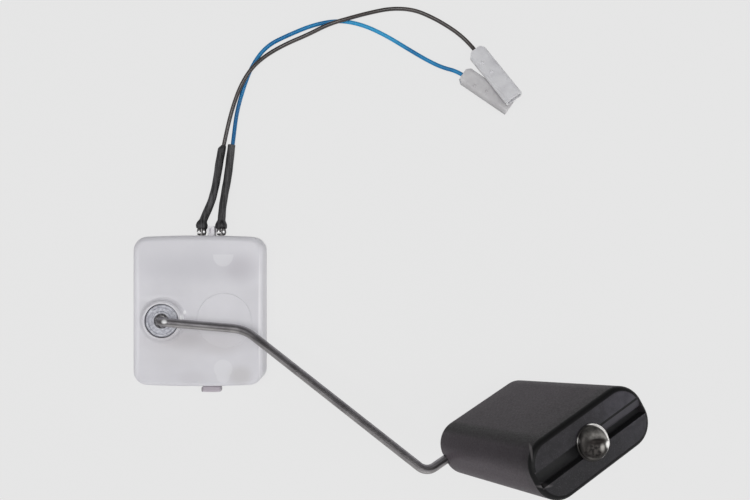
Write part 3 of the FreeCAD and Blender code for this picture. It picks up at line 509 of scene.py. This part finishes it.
def paint_cover():
    """The cover also shows, faintly, what stands behind its front wall, and carries painted shade
    and painted highlights.
    """
    finish, tone, grain = acetal("natural acetal cover", *COVER_TONES)
    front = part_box("housing_cover")[1].z

    def patch(x, y, reach_x, reach_y, edge):
        return finish.patch((x * MM, y * MM, front), (reach_x * MM, reach_y * MM, 1.0), edge)

    # Ovals of what shows through, of painted shade and of painted highlights
    for x, y, reach_x, reach_y, edge, share, seen in COVER_TONE_AND_PAINTED_LIGHT:
        tone = finish.paint(patch(x, y, reach_x, reach_y, edge), tone, colour(*seen), share)
    for spot in post_spots(finish, patch):
        tone = finish.paint(spot, tone, colour(232, 232, 235), POST_SHARE)
    tone = finish.paint(patch(*PAD), tone, colour(228, 227, 231), PAD_SHARE)
    return finish.wear(tone, grain, bump=0.06, distance=0.05 * MM)


def post_spots(finish, patch):
    """Where the posts touch the front wall: a half round with its flat side up, and a drop."""
    tree = finish.tree
    below_flat = remap(tree, part_of(tree, finish.place, "Y"), *UPPER_POST_FLAT, 1.0, 0.0)
    half_round = both(tree, patch(*UPPER_POST), below_flat)
    drop = math_of(tree, "MAXIMUM", patch(*LOWER_POST_HEAD), patch(*LOWER_POST_TAIL))
    return half_round, drop


def paint_plate():
    """The plate, with painted shade on the latch tab, darker at its ends."""
    finish, tone, grain = acetal("natural acetal plate", colour(238, 236, 240),
                                 colour(230, 228, 232))
    # Painted shade on the latch tab
    for x, reach, share, painted_shade in LATCH_PAINTED_SHADE:
        patch = finish.patch((x * MM, *LATCH_LEVEL), (reach * MM, 2.0 * MM, 3.0 * MM), 0.3)
        tone = finish.paint(patch, tone, colour(*painted_shade), share)
    return finish.wear(tone, grain, bump=0.06, distance=0.05 * MM)


def paint_rotor():
    """The hub is a greyer acetal, with a rougher, eroded texture on its top."""
    finish, tone, grain = acetal("grey acetal rotor", colour(206, 207, 215),
                                 colour(180, 181, 190), 0.4, 0.6)
    speckle = finish.base(colour(226, 227, 233), colour(142, 143, 151), 1100.0)
    tone = finish.paint(0.5, tone, speckle)
    return finish.wear(tone, grain, bump=0.35, distance=0.2 * MM)


class Foam(Finish):
    """Moulded rubber foam, with measures along the float's own width, height and length."""

    def __init__(self):
        super().__init__("foamed rubber", IOR=1.45, Specular_IOR_Level=0.26)
        self.width, self.height, self.length = float_axes()
        self.corners = [vertex.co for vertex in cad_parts["float"].data.vertices]
        cells = add(self.tree, "ShaderNodeTexVoronoi",
                    {"Vector": self.place, "Scale": 2300.0, "Randomness": 1.0})
        self.cells = remap(self.tree, cells.outputs["Distance"], 0.1, 0.45, 1.0, 0.0)

    def ends(self, way):
        """The float's lowest and highest place along a direction."""
        places = [corner.dot(way) for corner in self.corners]
        return min(places), max(places)

    def from_middle(self, way):
        """Place along a direction, from the float's middle."""
        return math_of(self.tree, "SUBTRACT", along(self.tree, self.place, way),
                       sum(self.ends(way)) / 2)

    def within(self, way, reach, edge):
        """Mask of what is nearer to the float's middle than reach."""
        away = math_of(self.tree, "ABSOLUTE", self.from_middle(way))
        return remap(self.tree, away, reach, reach + edge, 1.0, 0.0)

    def skin(self):
        """Smooth skin: lighter at the rear, with painted light on its lower side, darker towards
        the front.
        """
        tree = self.tree
        forward = self.from_middle(self.length)
        upward = self.towards(self.height)
        tone = self.base(colour(63, 55, 62), colour(58, 50, 57), 60.0)
        tone = self.paint(remap(tree, forward, -16 * MM, -27 * MM), tone, colour(104, 98, 103), 0.2)
        tone = self.paint(remap(tree, forward, 3 * MM, 25 * MM), tone, colour(39, 34, 38), 0.45)
        tone = self.paint(remap(tree, forward, 21 * MM, 26 * MM), tone, colour(24, 21, 24), 0.6)
        # Painted light on the lower side
        tone = self.paint(remap(tree, upward, 0.6, 0.1), tone, colour(98, 91, 96), 0.28)
        # Painted shade along the top's shoulder
        return self.paint(self.shoulder(), tone, colour(18, 13, 17))

    def shoulder(self):
        """Mask of the painted shade along the top's shoulder, and of the fainter one leading to it.
        """
        tree = self.tree
        sideways = self.from_middle(self.width)
        line = remap(tree, apart(tree, sideways, -SHOULDER_AT), 0.8 * MM, 3.6 * MM, 1.0, 0.0)
        slope = remap(tree, sideways, 12 * MM, -SHOULDER_AT, 0.0, 0.3)
        return both(tree, math_of(tree, "MAXIMUM", line, slope),
                    remap(tree, self.towards(self.height), 0.0, 0.6))

    def face(self):
        """End face: lighter on its outer half, darker below the groove, with cut cells."""
        tree = self.tree
        outward = remap(tree, self.from_middle(self.width), -1 * MM, 16 * MM)
        tone = self.paint(outward, self.base(colour(46, 44, 48), colour(38, 37, 40), 420.0),
                          self.base(colour(66, 64, 71), colour(55, 53, 59), 420.0))
        below_groove = remap(tree, self.from_middle(self.height), -1.8 * MM, -2.6 * MM)
        tone = self.paint(below_groove, tone, colour(32, 32, 34), 0.5)
        return self.paint(self.cells, tone, colour(72, 71, 75), 0.25)

    def strip(self, middle, reach):
        """Mask of a strip along the outer half of the front face."""
        tree = self.tree
        away = apart(tree, self.from_middle(self.height), middle)
        outer_half = remap(tree, self.from_middle(self.width), 0.0, 0.5 * MM)
        front = both(tree, remap(tree, self.towards(self.length), 0.9, 0.95),
                     self.within(self.width, GROOVE_ALONG, GROOVE_EDGE))
        return both(tree, both(tree, outer_half, front),
                    remap(tree, away, reach, reach + GROOVE_EDGE, 1.0, 0.0))


def paint_foam():
    """Foam with a smooth skin and cut cells on its end faces; its bevels are painted black as a
    dark reflection, and its groove is painted dark as shade.

    Two painted highlights lie on a bevel.
    """
    foam = Foam()
    tree = foam.tree
    turned = math_of(tree, "ABSOLUTE", foam.towards(foam.length))
    end_face = remap(tree, turned, 0.9, 0.99)
    bevel = both(tree, remap(tree, turned, 0.1, 0.2), remap(tree, turned, 0.995, 0.97))
    groove = both(tree, foam.within(foam.width, GROOVE_ALONG, GROOVE_EDGE),
                  foam.within(foam.height, GROOVE_ACROSS, GROOVE_EDGE))
    low, high = foam.ends(foam.length)
    shelf = (high - low) / 2 - GROOVE_SHELF_DEPTH
    deep = math_of(tree, "MAXIMUM", foam.within(foam.length, shelf, 0.2 * MM),
                   remap(tree, turned, 0.6, 0.3))

    tone = foam.paint(end_face, foam.skin(), foam.face())
    outside = math_of(tree, "SUBTRACT", 1.0, groove)
    # Bevels painted black: a painted dark reflection
    tone = foam.paint(both(tree, bevel, outside), tone, colour(7, 7, 8))
    # Painted light on the shelf, and a painted shadow line at its step
    for middle, reach, share, seen in FACE_STRIPS:
        tone = foam.paint(foam.strip(middle, reach), tone, colour(*seen), share)
    # Painted shade deep in the groove
    tone = foam.paint(both(tree, groove, deep), tone, colour(36, 36, 37))
    # Painted highlights on a bevel
    for place, reach in BEVEL_PAINTED_HIGHLIGHTS:
        spot = foam.patch(Vector(place) * MM, Vector(reach) * MM, 0.5)
        tone = foam.paint(spot, tone, colour(124, 120, 122), 0.4)

    grain = foam.grain(1900.0, 0.42, 0.6)
    height = math_of(tree, "ADD", math_of(tree, "MULTIPLY", grain["Height"], 0.4),
                     math_of(tree, "MULTIPLY", both(tree, foam.cells, end_face), 0.6))
    return foam.wear(tone, grain, bump=0.25, distance=0.06 * MM, height=height)


def paint_wire():
    """Drawn spring steel: painted reflections lighter away from the leads, painted shade along its
    crown, painted highlight at its first bend.
    """
    finish = Finish("spring steel wire", Metallic=1.0)
    tree = finish.tree
    marks = finish.effect(FINE_SCRATCHES, Scale=500.0, Amount=0.2)["Mask"]
    leadward = part_of(tree, finish.coordinates["Normal"], "Y")
    along_arm = part_of(tree, finish.place, "X")

    def past_bend(before, after):
        """A value that changes where the first run gives way to the long one."""
        return remap(tree, along_arm, *SECOND_BEND, before, after)

    # Painted reflections: slightly lighter facing away from the leads, and painted shade along the
    # crown
    lower = finish.base(colour(174, 171, 171), colour(152, 149, 150), 260.0)
    upper = finish.base(colour(166, 163, 167), colour(142, 139, 143), 260.0)
    crown = finish.base(colour(74, 72, 73), colour(60, 58, 59), 260.0)
    tone = finish.paint(remap(tree, leadward, -0.3, 0.1), lower, upper)
    from_crown = apart(tree, leadward, past_bend(0.06, 0.22))
    dark = both(tree, remap(tree, from_crown, 0.1, past_bend(0.65, 0.38), 1.0, 0.0),
                past_bend(0.75, 1.0))
    tone = finish.paint(dark, tone, crown)
    tone = finish.paint(marks, tone, colour(160, 157, 154))
    # Painted highlight at the first bend, made less metallic there
    glint = finish.patch(BEND_GLINT, BEND_GLINT_REACH, 0.4)
    tone = finish.paint(glint, tone, colour(255, 255, 255))
    tree.links.new(remap(tree, glint, 0.0, 1.0, 1.0, 0.3), finish.shader.inputs["Metallic"])
    return finish.wear(tone, finish.grain(900.0, 0.36, 0.46), bump=0.03, distance=0.04 * MM)


def bright_metal(name, first, second, smooth, rough, drift=300.0, bump=0.05):
    finish = Finish(name, Metallic=1.0)
    tone = finish.base(first, second, drift)
    return finish.wear(tone, finish.grain(700.0, smooth, rough), bump, distance=0.05 * MM)


def paint_crimps():
    """Tinned crimps, dull but for a painted highlight on each rolled wing."""
    finish = Finish("crimped tin", Metallic=1.0)
    tone = finish.base(colour(128, 126, 126), colour(84, 82, 82), 700.0)
    # A painted highlight on each rolled wing
    for middle in (LEFT_CRIMP, RIGHT_CRIMP):
        for side in (-CRIMP_PAINTED_HIGHLIGHT_OFFSET, CRIMP_PAINTED_HIGHLIGHT_OFFSET):
            spot = finish.patch(((middle + side) * MM, CRIMP_PAINTED_HIGHLIGHT, CRIMP_LEVEL * MM),
                                (0.42 * MM, 0.45 * MM, 3.0 * MM), 0.4)
            tone = finish.paint(spot, tone, colour(245, 245, 245))
    return finish.wear(tone, finish.grain(900.0, 0.36, 0.5), bump=0.08, distance=0.05 * MM)


def jacket(name, shine):
    """Thin-walled, waxy lead jacket, still without its tone."""
    finish = Finish(name, IOR=1.5, Specular_IOR_Level=shine)
    return finish, finish.grain(1700.0, 0.26, 0.36)


def paint_black_jacket():
    finish, grain = jacket("black jacket", 0.7)
    tone = finish.base(colour(60, 52, 50), colour(44, 38, 37), 160.0)
    return finish.wear(tone, grain, bump=0.2, distance=0.05 * MM)


def paint_blue_jacket():
    """Blue, darker where it rises from the housing, with a painted highlight on the top of its
    curve.
    """
    finish, grain = jacket("blue jacket", 0.3)
    tree = finish.tree
    tone = finish.base(colour(24, 130, 186), colour(8, 106, 162), 160.0)
    across = part_of(tree, finish.place, "X")
    rise = remap(tree, across, 21.5 * MM, 26 * MM, 1.0, 0.0)
    tone = finish.paint(rise, tone, colour(2, 84, 136), 0.75)
    # Painted highlight on the top of the curve
    top = remap(tree, apart(tree, across, BLUE_TOP), 5 * MM, 13 * MM, 1.0, 0.0)
    tone = finish.paint(top, tone, colour(44, 160, 212), 0.75)
    return finish.wear(tone, grain, bump=0.2, distance=0.05 * MM)


def paint_shrink():
    """Heat-shrunk tube, streaked along its length."""
    finish = Finish("shrunk tube", IOR=1.5, Specular_IOR_Level=0.35)
    streaks = add(finish.tree, "ShaderNodeMapping",
                  {"Vector": finish.place, "Scale": (1.0, 0.08, 1.0)})
    tone = finish.effect(TONE_DRIFT, Place=streaks.outputs["Vector"], First=colour(76, 75, 77),
                         Second=colour(12, 11, 13), Scale=1200.0)["Colour"]
    return finish.wear(tone, finish.grain(1500.0, 0.4, 0.56), bump=0.3, distance=0.08 * MM)


def paint_milky_sleeve(name, first, second, dark_heading):
    """Milky sleeve with small specks, painted shade on the side facing a heading in degrees and
    painted light on the others.
    """
    finish = Finish(name, Transmission_Weight=0.1, IOR=1.4, Subsurface_Weight=0.3,
                    Subsurface_Radius=(1.0, 1.0, 1.0), Subsurface_Scale=0.8 * MM)
    tree = finish.tree
    tone = finish.base(first, second, 150.0)
    # Painted shade on the side facing the heading, painted light on the other sides
    upward = part_of(tree, finish.coordinates["Normal"], "Z")
    side = remap(tree, math_of(tree, "ABSOLUTE", upward), 0.25, 0.9, 1.0, 0.0)
    dark = remap(tree, finish.towards(direction(dark_heading, 0.0)), 0.1, 0.5)
    side_tone = finish.paint(dark, colour(250, 250, 251), colour(180, 180, 182))
    tone = finish.paint(side, tone, side_tone, 0.5)
    noise = add(tree, "ShaderNodeTexNoise",
                {"Vector": finish.place, "Scale": 1300.0, "Detail": 2.0})
    specks = remap(tree, noise.outputs["Fac"], 0.66, 0.76)
    tone = finish.paint(specks, tone, colour(170, 170, 172), 0.35)
    return finish.wear(tone, finish.grain(900.0, 0.3, 0.45), bump=0.25, distance=0.15 * MM)


def paint_cap():
    """Pressed steel, darker in its dimple, with painted shade and dark reflection, and a painted
    highlight crescent on its dome.
    """
    finish = Finish("pressed cap steel", Metallic=1.0)
    tree = finish.tree
    flat = add(tree, "ShaderNodeVectorMath", {0: finish.place, 1: (1.0, 1.0, 0.0)},
               operation="MULTIPLY").outputs[0]

    def patch(x, y, reach_x, reach_y, edge):
        return finish.patch((x * MM, y * MM, 0.0), (reach_x * MM, reach_y * MM, 1.0), edge, flat)

    tone = finish.base(colour(110, 108, 105), colour(84, 82, 80), 900.0)
    # Painted shade on the left side
    tone = finish.paint(patch(-3.3, -0.7, 2.1, 2.9, 0.6), tone, colour(50, 48, 47))
    # Painted dark reflection over the lower half, mottled
    mottled_dark_reflection = finish.base(colour(76, 73, 71), colour(32, 30, 30), 1100.0)
    tone = finish.paint(patch(-0.2, -1.9, 3.3, 1.9, 0.3), tone, mottled_dark_reflection)
    tone = finish.paint(patch(0.1, 0.35, 2.7, 0.75, 0.35), tone, colour(40, 37, 36))
    # Painted shade on the rim
    rim = math_of(tree, "SUBTRACT", 1.0, patch(0.0, 0.0, 4.36, 4.36, 0.01))
    tone = finish.paint(rim, tone, colour(60, 58, 57), 0.85)

    # Painted highlights: a crescent on the dome, the bump and a streak on the left rim, made less
    # metallic
    crescent = math_of(tree, "SUBTRACT", patch(0.0, 0.0, 4.75, 4.75, 0.01),
                       patch(-1.5, -0.66, 5.05, 5.05, 0.03))
    bump = patch(3.4, -0.5, 0.75, 0.9, 0.4)
    left_rim = math_of(tree, "MULTIPLY", patch(-4.4, 0.9, 0.3, 0.8, 0.4), 0.2)
    shine = math_of(tree, "MAXIMUM", math_of(tree, "MAXIMUM", crescent, bump), left_rim)
    tone = finish.paint(shine, tone, colour(255, 253, 250))
    tree.links.new(remap(tree, shine, 0.0, 1.0, 1.0, 0.1), finish.shader.inputs["Metallic"])
    tone = finish.paint(patch(1.6, -1.3, 0.6, 0.9, 0.6), tone, colour(148, 145, 141))
    return finish.wear(tone, finish.grain(1500.0, 0.34, 0.5), bump=0.1, distance=0.04 * MM)


def paint_board():
    """Fired ceramic with its darker printed track and pads standing above it."""
    finish = Finish("printed ceramic", IOR=1.6)
    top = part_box("resistor_board")[1].z
    height = part_of(finish.tree, finish.place, "Z")
    printed = remap(finish.tree, height, top - 0.06 * MM, top - 0.03 * MM)
    ceramic = finish.base(colour(232, 230, 224), colour(222, 219, 212), 200.0)
    print_tone = finish.base(colour(96, 92, 88), colour(70, 68, 66), 900.0)
    tone = finish.paint(printed, ceramic, print_tone)
    return finish.wear(tone, finish.grain(1600.0, 0.45, 0.6), bump=0.1, distance=0.03 * MM)


def paint_plain(name, first, second, smooth, rough):
    finish = Finish(name)
    tone = finish.base(first, second, 300.0)
    return finish.wear(tone, finish.grain(1200.0, smooth, rough), bump=0.15, distance=0.05 * MM)


def dress(node, material):
    """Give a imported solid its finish."""
    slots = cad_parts[node].data.materials
    slots.clear()
    slots.append(material)


# Leads

def lead_points(route, sleeve):
    """The route's points and the two on the axis of its insulating sleeve, in metres."""
    entry, heading, climb = sleeve
    along = direction(heading, climb)
    points = [Vector(point) for point in route]
    points.append(Vector(entry) - along * BEFORE_SLEEVE)
    points.append(Vector(entry) + along * LEAD_IN_SLEEVE)
    return [point * MM for point in points]


def make_lead(name, points, material):
    data = bpy.data.curves.new(name, "CURVE")
    data.dimensions = "3D"
    data.resolution_u = 16
    data.bevel_depth = LEAD_DIAMETER / 2
    data.bevel_resolution = 8
    data.use_fill_caps = True
    spline = data.splines.new("NURBS")
    spline.points.add(len(points) - 1)
    for point, place in zip(spline.points, points):
        point.co = (*place, 1.0)
    spline.order_u = 3
    spline.use_endpoint_u = True
    data.materials.append(material)
    lead = bpy.data.objects.new(name, data)
    bpy.context.scene.collection.objects.link(lead)
    return lead


def centre_line(lead):
    """Points along a lead's own smooth line."""
    bare = lead.copy()
    bare.data = lead.data.copy()
    bare.data.bevel_depth = 0.0
    bpy.context.scene.collection.objects.link(bare)
    bpy.context.view_layer.update()
    drawn = bare.evaluated_get(bpy.context.evaluated_depsgraph_get())
    mesh = bpy.data.meshes.new_from_object(drawn)
    points = [vertex.co.copy() for vertex in mesh.vertices]
    bpy.data.meshes.remove(mesh)
    bpy.data.objects.remove(bare)
    return points


def along_line(points, step, length):
    """Points a fixed step apart, from the line's start."""
    places = [points[0].copy()]
    wanted = step
    walked = 0.0
    for start, end in zip(points, points[1:]):
        run = (end - start).length
        while run > 0 and walked + run >= wanted and wanted <= length:
            places.append(start.lerp(end, (wanted - walked) / run))
            wanted += step
        walked += run
    return places


def mesh_piece(name, points, faces, material, smooth=True):
    mesh = bpy.data.meshes.new(name)
    mesh.from_pydata([tuple(point) for point in points], [], faces)
    mesh.validate()
    if smooth:
        mesh.polygons.foreach_set("use_smooth", [True] * len(mesh.polygons))
    mesh.materials.append(material)
    mesh.update()
    piece = bpy.data.objects.new(name, mesh)
    bpy.context.scene.collection.objects.link(piece)
    return piece


def ring_faces(rings, sides, closed):
    """Quads between neighbouring rings, and from the last ring back to the first where closed."""
    faces = []
    count = rings if closed else rings - 1
    for ring in range(count):
        here = ring * sides
        after = (ring + 1) % rings * sides
        for side in range(sides):
            beside = (side + 1) % sides
            faces.append((here + side, here + beside, after + beside, after + side))
    return faces


def smooth_share(share):
    """A share from 0 to 1, eased at both ends."""
    return share * share * (3 - 2 * share)


def shrink_outline(walked, turn, total, tapered, phase):
    """Outer radius of a shrunk sleeve: a swollen mouth, low wrinkles, and a drawn or cut end."""
    radius = SHRINK_RADIUS
    if walked < MOUTH_LENGTH:
        share = walked / MOUTH_LENGTH
        if share < SWELL_END:
            wave = math.sin(math.pi * min(1.0, SWELL_START + share * SWELL_RATE))
            wide = (1.0 - MOUTH_FLATNESS * math.sin(turn) ** 2
                    + MOUTH_LOBES * math.sin(3 * turn + 2 * phase))
            radius += (MOUTH_RADIUS - SHRINK_RADIUS) * wave ** SWELL_POWER * wide
        ragged = math.sin(7 * turn + phase) * math.sin(4 * turn)
        radius += MOUTH_RAGGED * (1 - share) * ragged
    size, pitch = TWIST
    radius += size * math.sin(2 * turn + phase + walked / pitch)
    size, pitch = DIMPLES
    radius += size * math.sin(5 * turn + phase * 2) * math.sin(walked / pitch + phase)
    size, pitch = RIPPLES
    radius += size * math.sin(walked / pitch + 3 * math.sin(turn + phase))
    lean = smooth_share(min(1.0, walked / total * TIP_LEAN_RATE))
    radius -= TIP_LEAN * lean * math.cos(turn)
    if tapered and walked > total - TIP_TAPER:
        share = (walked - total + TIP_TAPER) / TIP_TAPER
        radius += (SHRINK_BORE + TIP_WALL - radius) * smooth_share(share)
    return radius


def shrink_bore(walked, outer):
    """Inner radius of a shrunk sleeve: thick-walled at its mouth, and tight on the lead beyond."""
    bore = max(SHRINK_BORE, outer - MOUTH_WALL) if walked < MOUTH_LENGTH else SHRINK_BORE
    return min(outer - THIN_WALL, bore)


def make_shrink(name, lead, length, tapered, phase, material):
    """Heat-shrunk sleeve on a lead, as one closed skin: outside, tip, bore and mouth."""
    line = centre_line(lead)
    first = (line[1] - line[0]).normalized()
    line = [line[0] - first * SHRINK_OVER_CRIMP] + line
    total = length + (TIP_TAPER if tapered else 0.0)
    centres = along_line(line, SHRINK_STEP, total)
    last = len(centres) - 1
    points = []
    outside = range(len(centres))
    for inside, order in ((False, outside), (True, reversed(outside))):
        for index in order:
            centre = centres[index]
            ahead = (centres[min(index + 1, last)] - centres[max(index - 1, 0)]).normalized()
            across = ahead.cross(Vector((0, 0, 1))).normalized()
            upward = across.cross(ahead)
            walked = index * SHRINK_STEP
            for side in range(SHRINK_SIDES):
                turn = 2 * math.pi * side / SHRINK_SIDES
                radius = shrink_outline(walked, turn, len(centres) * SHRINK_STEP, tapered, phase)
                if inside:
                    radius = shrink_bore(walked, radius)
                points.append(centre + across * radius * math.cos(turn)
                              + upward * radius * math.sin(turn))
    faces = ring_faces(2 * len(centres), SHRINK_SIDES, True)
    return mesh_piece(name, points, faces, material)


# Cap on the arm's end

def cap_height(radius, turn):
    """Height of the pressed dome over its base plane, with its dents and bump."""
    share = min(1.0, radius / CAP_SHOULDER)
    height = CAP_RIM + (CAP_HEIGHT - CAP_RIM) * math.sqrt(max(0.0, 1 - share ** CAP_DOME_POWER))
    x = radius * math.cos(turn)
    y = radius * math.sin(turn)
    for middle_x, middle_y, reach, rise in CAP_FORMS:
        away = math.hypot(x - middle_x * MM, y - middle_y * MM) / (reach * MM)
        height += rise * MM * math.exp(-away ** 2)
    return max(CAP_RIM, height)


def cap_inner_height(radius, turn):
    return max(CAP_INNER_LOWEST, cap_height(radius, turn) - CAP_SHEET)


def cap_profile():
    """Radius and height of each ring, from the crown over the rim and back up inside.

    A height that changes round its ring is given as the function that makes it.
    """
    shares = [step / CAP_RINGS for step in range(1, CAP_RINGS + 1)]
    radii = [CAP_SHOULDER * (1 - (1 - share) ** CAP_RING_POWER) for share in shares]
    outer = [(radius, cap_height) for radius in radii]
    rim = [
        (CAP_SHOULDER + 0.12 * MM, CAP_RIM),
        (CAP_RADIUS - 0.1 * MM, CAP_RIM),
        (CAP_RADIUS - 0.02 * MM, CAP_RIM * 0.8),
        (CAP_RADIUS, CAP_RIM * 0.5),
        (CAP_RADIUS - 0.05 * MM, 0.02 * MM),
        (CAP_RADIUS - 0.15 * MM, 0.0),
        (CAP_SHOULDER - CAP_SHEET, 0.0),
    ]
    inner = [(radius, cap_inner_height) for radius in reversed(radii[:CAP_INNER_RINGS])]
    return outer + rim + inner


def make_cap(material):
    """Pressed push-on cap: a closed skin from its crown, over the rim and back up inside."""
    profile = cap_profile()
    points = []
    for radius, level in profile:
        for side in range(CAP_SIDES):
            turn = 2 * math.pi * side / CAP_SIDES
            height = level(radius, turn) if callable(level) else level
            points.append((radius * math.cos(turn), radius * math.sin(turn), height))
    faces = ring_faces(len(profile), CAP_SIDES, False)
    crown = len(points)
    points.append((0, 0, cap_height(0, 0)))
    points.append((0, 0, cap_height(0, 0) - CAP_SHEET))
    last = (len(profile) - 1) * CAP_SIDES
    for side in range(CAP_SIDES):
        beside = (side + 1) % CAP_SIDES
        faces.append((crown, beside, side))
        faces.append((crown + 1, last + side, last + beside))
    cap = mesh_piece("pressed_cap", points, faces, material)
    width, height, length = float_axes()
    turn = math.radians(CAP_TURN)
    right = width * math.cos(turn) + height * math.sin(turn)
    axes = Matrix((right, length.cross(right), length)).transposed().to_4x4()
    cap.matrix_world = Matrix.Translation(cap_base(length)) @ axes
    return cap


def cap_base(length):
    """Centre of the cap's base: its solid's lowest point along the float's length, on its axis."""
    corners = [vertex.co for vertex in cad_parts["retainer_cap"].data.vertices]
    middle = sum(corners, Vector()) / len(corners)
    lowest = min(corner.dot(length) for corner in corners)
    return middle + length * (lowest - middle.dot(length))


# Setting

def make_floor():
    """Pale floor. The camera sees it partly as plain colour, so that the shadows stay light."""
    finish = Finish("pale floor", Roughness=0.9, Specular_IOR_Level=0.0)
    tree = finish.tree
    white = colour(WHITE_LEVEL, WHITE_LEVEL, WHITE_LEVEL)
    grey = colour(WHITE_LEVEL - 1, WHITE_LEVEL - 1, WHITE_LEVEL - 1)
    tree.links.new(finish.base(white, grey, 5.0), finish.shader.inputs["Base Color"])
    plain = add(tree, "ShaderNodeEmission", {"Color": white, "Strength": 1.0})
    seen = add(tree, "ShaderNodeLightPath").outputs["Is Camera Ray"]
    share = math_of(tree, "MULTIPLY", seen, FLOOR_PLAIN_SHARE)
    mixed = add(tree, "ShaderNodeMixShader",
                {0: share, 1: finish.shader.outputs[0], 2: plain.outputs[0]})
    tree.links.new(mixed.outputs[0], tree.nodes["Material Output"].inputs["Surface"])
    half = FLOOR_HALF
    corners = [(-half, -half, 0), (half, -half, 0), (half, half, 0), (-half, half, 0)]
    floor = mesh_piece("floor", corners, [(0, 1, 2, 3)], finish.material, smooth=False)
    floor.location = FLOOR_PLACE


def make_world():
    """A grey room, dimmer on the side where the leads leave. The camera sees it as white."""
    world = bpy.data.worlds.new("studio")
    world.use_nodes = True
    tree = world.node_tree
    background = tree.nodes["Background"]
    towards = add(tree, "ShaderNodeTexCoord").outputs["Generated"]
    dim = remap(tree, part_of(tree, towards, "Y"), -0.1, 0.8)
    room = blend_colour(tree, dim, ROOM_BRIGHT, ROOM_DIM)
    path = add(tree, "ShaderNodeLightPath").outputs
    seen = math_of(tree, "MAXIMUM", path["Is Camera Ray"], path["Is Transmission Ray"])
    shade = blend_colour(tree, seen, room, colour(WHITE_LEVEL, WHITE_LEVEL, WHITE_LEVEL))
    tree.links.new(shade, background.inputs["Color"])
    background.inputs["Strength"].default_value = 1.0
    bpy.context.scene.world = world


def make_lamp(name, place, aim, width, height, power):
    data = bpy.data.lights.new(name, "AREA")
    data.shape = "RECTANGLE"
    data.size = width
    data.size_y = height
    data.energy = power
    lamp = bpy.data.objects.new(name, data)
    lamp.location = place
    lamp.rotation_mode = "QUATERNION"
    lamp.rotation_quaternion = (Vector(aim) - Vector(place)).to_track_quat("-Z", "Y")
    bpy.context.scene.collection.objects.link(lamp)


def make_lights():
    for name, settings in LAMPS.items():
        make_lamp(name, *settings)


def make_camera():
    data = bpy.data.cameras.new("camera")
    data.sensor_width = CAMERA_SENSOR
    data.sensor_fit = "HORIZONTAL"
    data.lens = CAMERA_LENS
    data.clip_start = 0.01
    camera = bpy.data.objects.new("camera", data)
    camera.location = CAMERA_PLACE
    bpy.context.scene.collection.objects.link(camera)
    bpy.context.scene.camera = camera


def dress_nodes():
    crimps = paint_crimps()
    tin = bright_metal("tinned brass", colour(222, 221, 219), colour(186, 184, 180), 0.16, 0.3)
    finishes = {
        "housing_cover": paint_cover(),
        "back_plate": paint_plate(),
        "rotor": paint_rotor(),
        "magnet": paint_plain("pressed magnet", colour(74, 74, 78), colour(60, 60, 64), 0.45, 0.65),
        "resistor_board": paint_board(),
        "spacer_strip": paint_plain("spacer film", colour(176, 138, 84), colour(160, 122, 72),
                                    0.4, 0.55),
        "contact_comb": bright_metal("comb foil", colour(205, 203, 198), colour(180, 178, 172),
                                     0.14, 0.26),
        "element_lid": bright_metal("nickel silver", colour(190, 186, 176), colour(168, 163, 152),
                                    0.24, 0.4),
        "terminal_left": crimps,
        "terminal_right": crimps,
        "receptacle_black": tin,
        "receptacle_blue": tin,
        "insulating_sleeve_black": paint_milky_sleeve(
            "upper milky sleeve", colour(229, 229, 232), colour(211, 210, 214), 35.5),
        # The lower sleeve is a darker copy of the same finish: painted shade
        "insulating_sleeve_blue": paint_milky_sleeve(
            "lower milky sleeve", colour(217, 216, 217), colour(197, 195, 197), -124.3),
        "arm_wire": paint_wire(),
        "arm_ferrule": bright_metal("pressed ferrule steel", colour(168, 166, 168),
                                    colour(68, 66, 68), 0.4, 0.65, drift=1500.0, bump=0.3),
        "float": paint_foam(),
    }
    for node, material in finishes.items():
        dress(node, material)


def dress_leads():
    shrink = paint_shrink()
    black = make_lead("lead_black_jacket", lead_points(BLACK_ROUTE, BLACK_SLEEVE),
                      paint_black_jacket())
    blue = make_lead("lead_blue_jacket", lead_points(BLUE_ROUTE, BLUE_SLEEVE),
                     paint_blue_jacket())
    rows = (
        (black, "lead_black", "black", "shrink_sleeve_left", 0.4, BLACK_LENGTH, "jacket_black"),
        (blue, "lead_blue", "blue", "shrink_sleeve_right", 2.3, BLUE_LENGTH, "jacket_blue"),
    )
    for covered, (lead, node, side, shrink_node, phase, length, slot) in zip(SHRINK_LENGTHS, rows):
        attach(lead, "housing")
        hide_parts(node)
        sleeve = make_shrink("shrunk_" + side, lead, covered, side == "black", phase, shrink)
        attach(sleeve, "housing")
        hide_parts(shrink_node)


def dress_cap():
    cap = make_cap(paint_cap())
    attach(cap, "arm")
    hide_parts("retainer_cap")


make_camera()
dress_leads()
dress_nodes()
dress_cap()
make_floor()
make_world()
make_lights()
bpy.context.scene.view_settings.view_transform = "Standard"
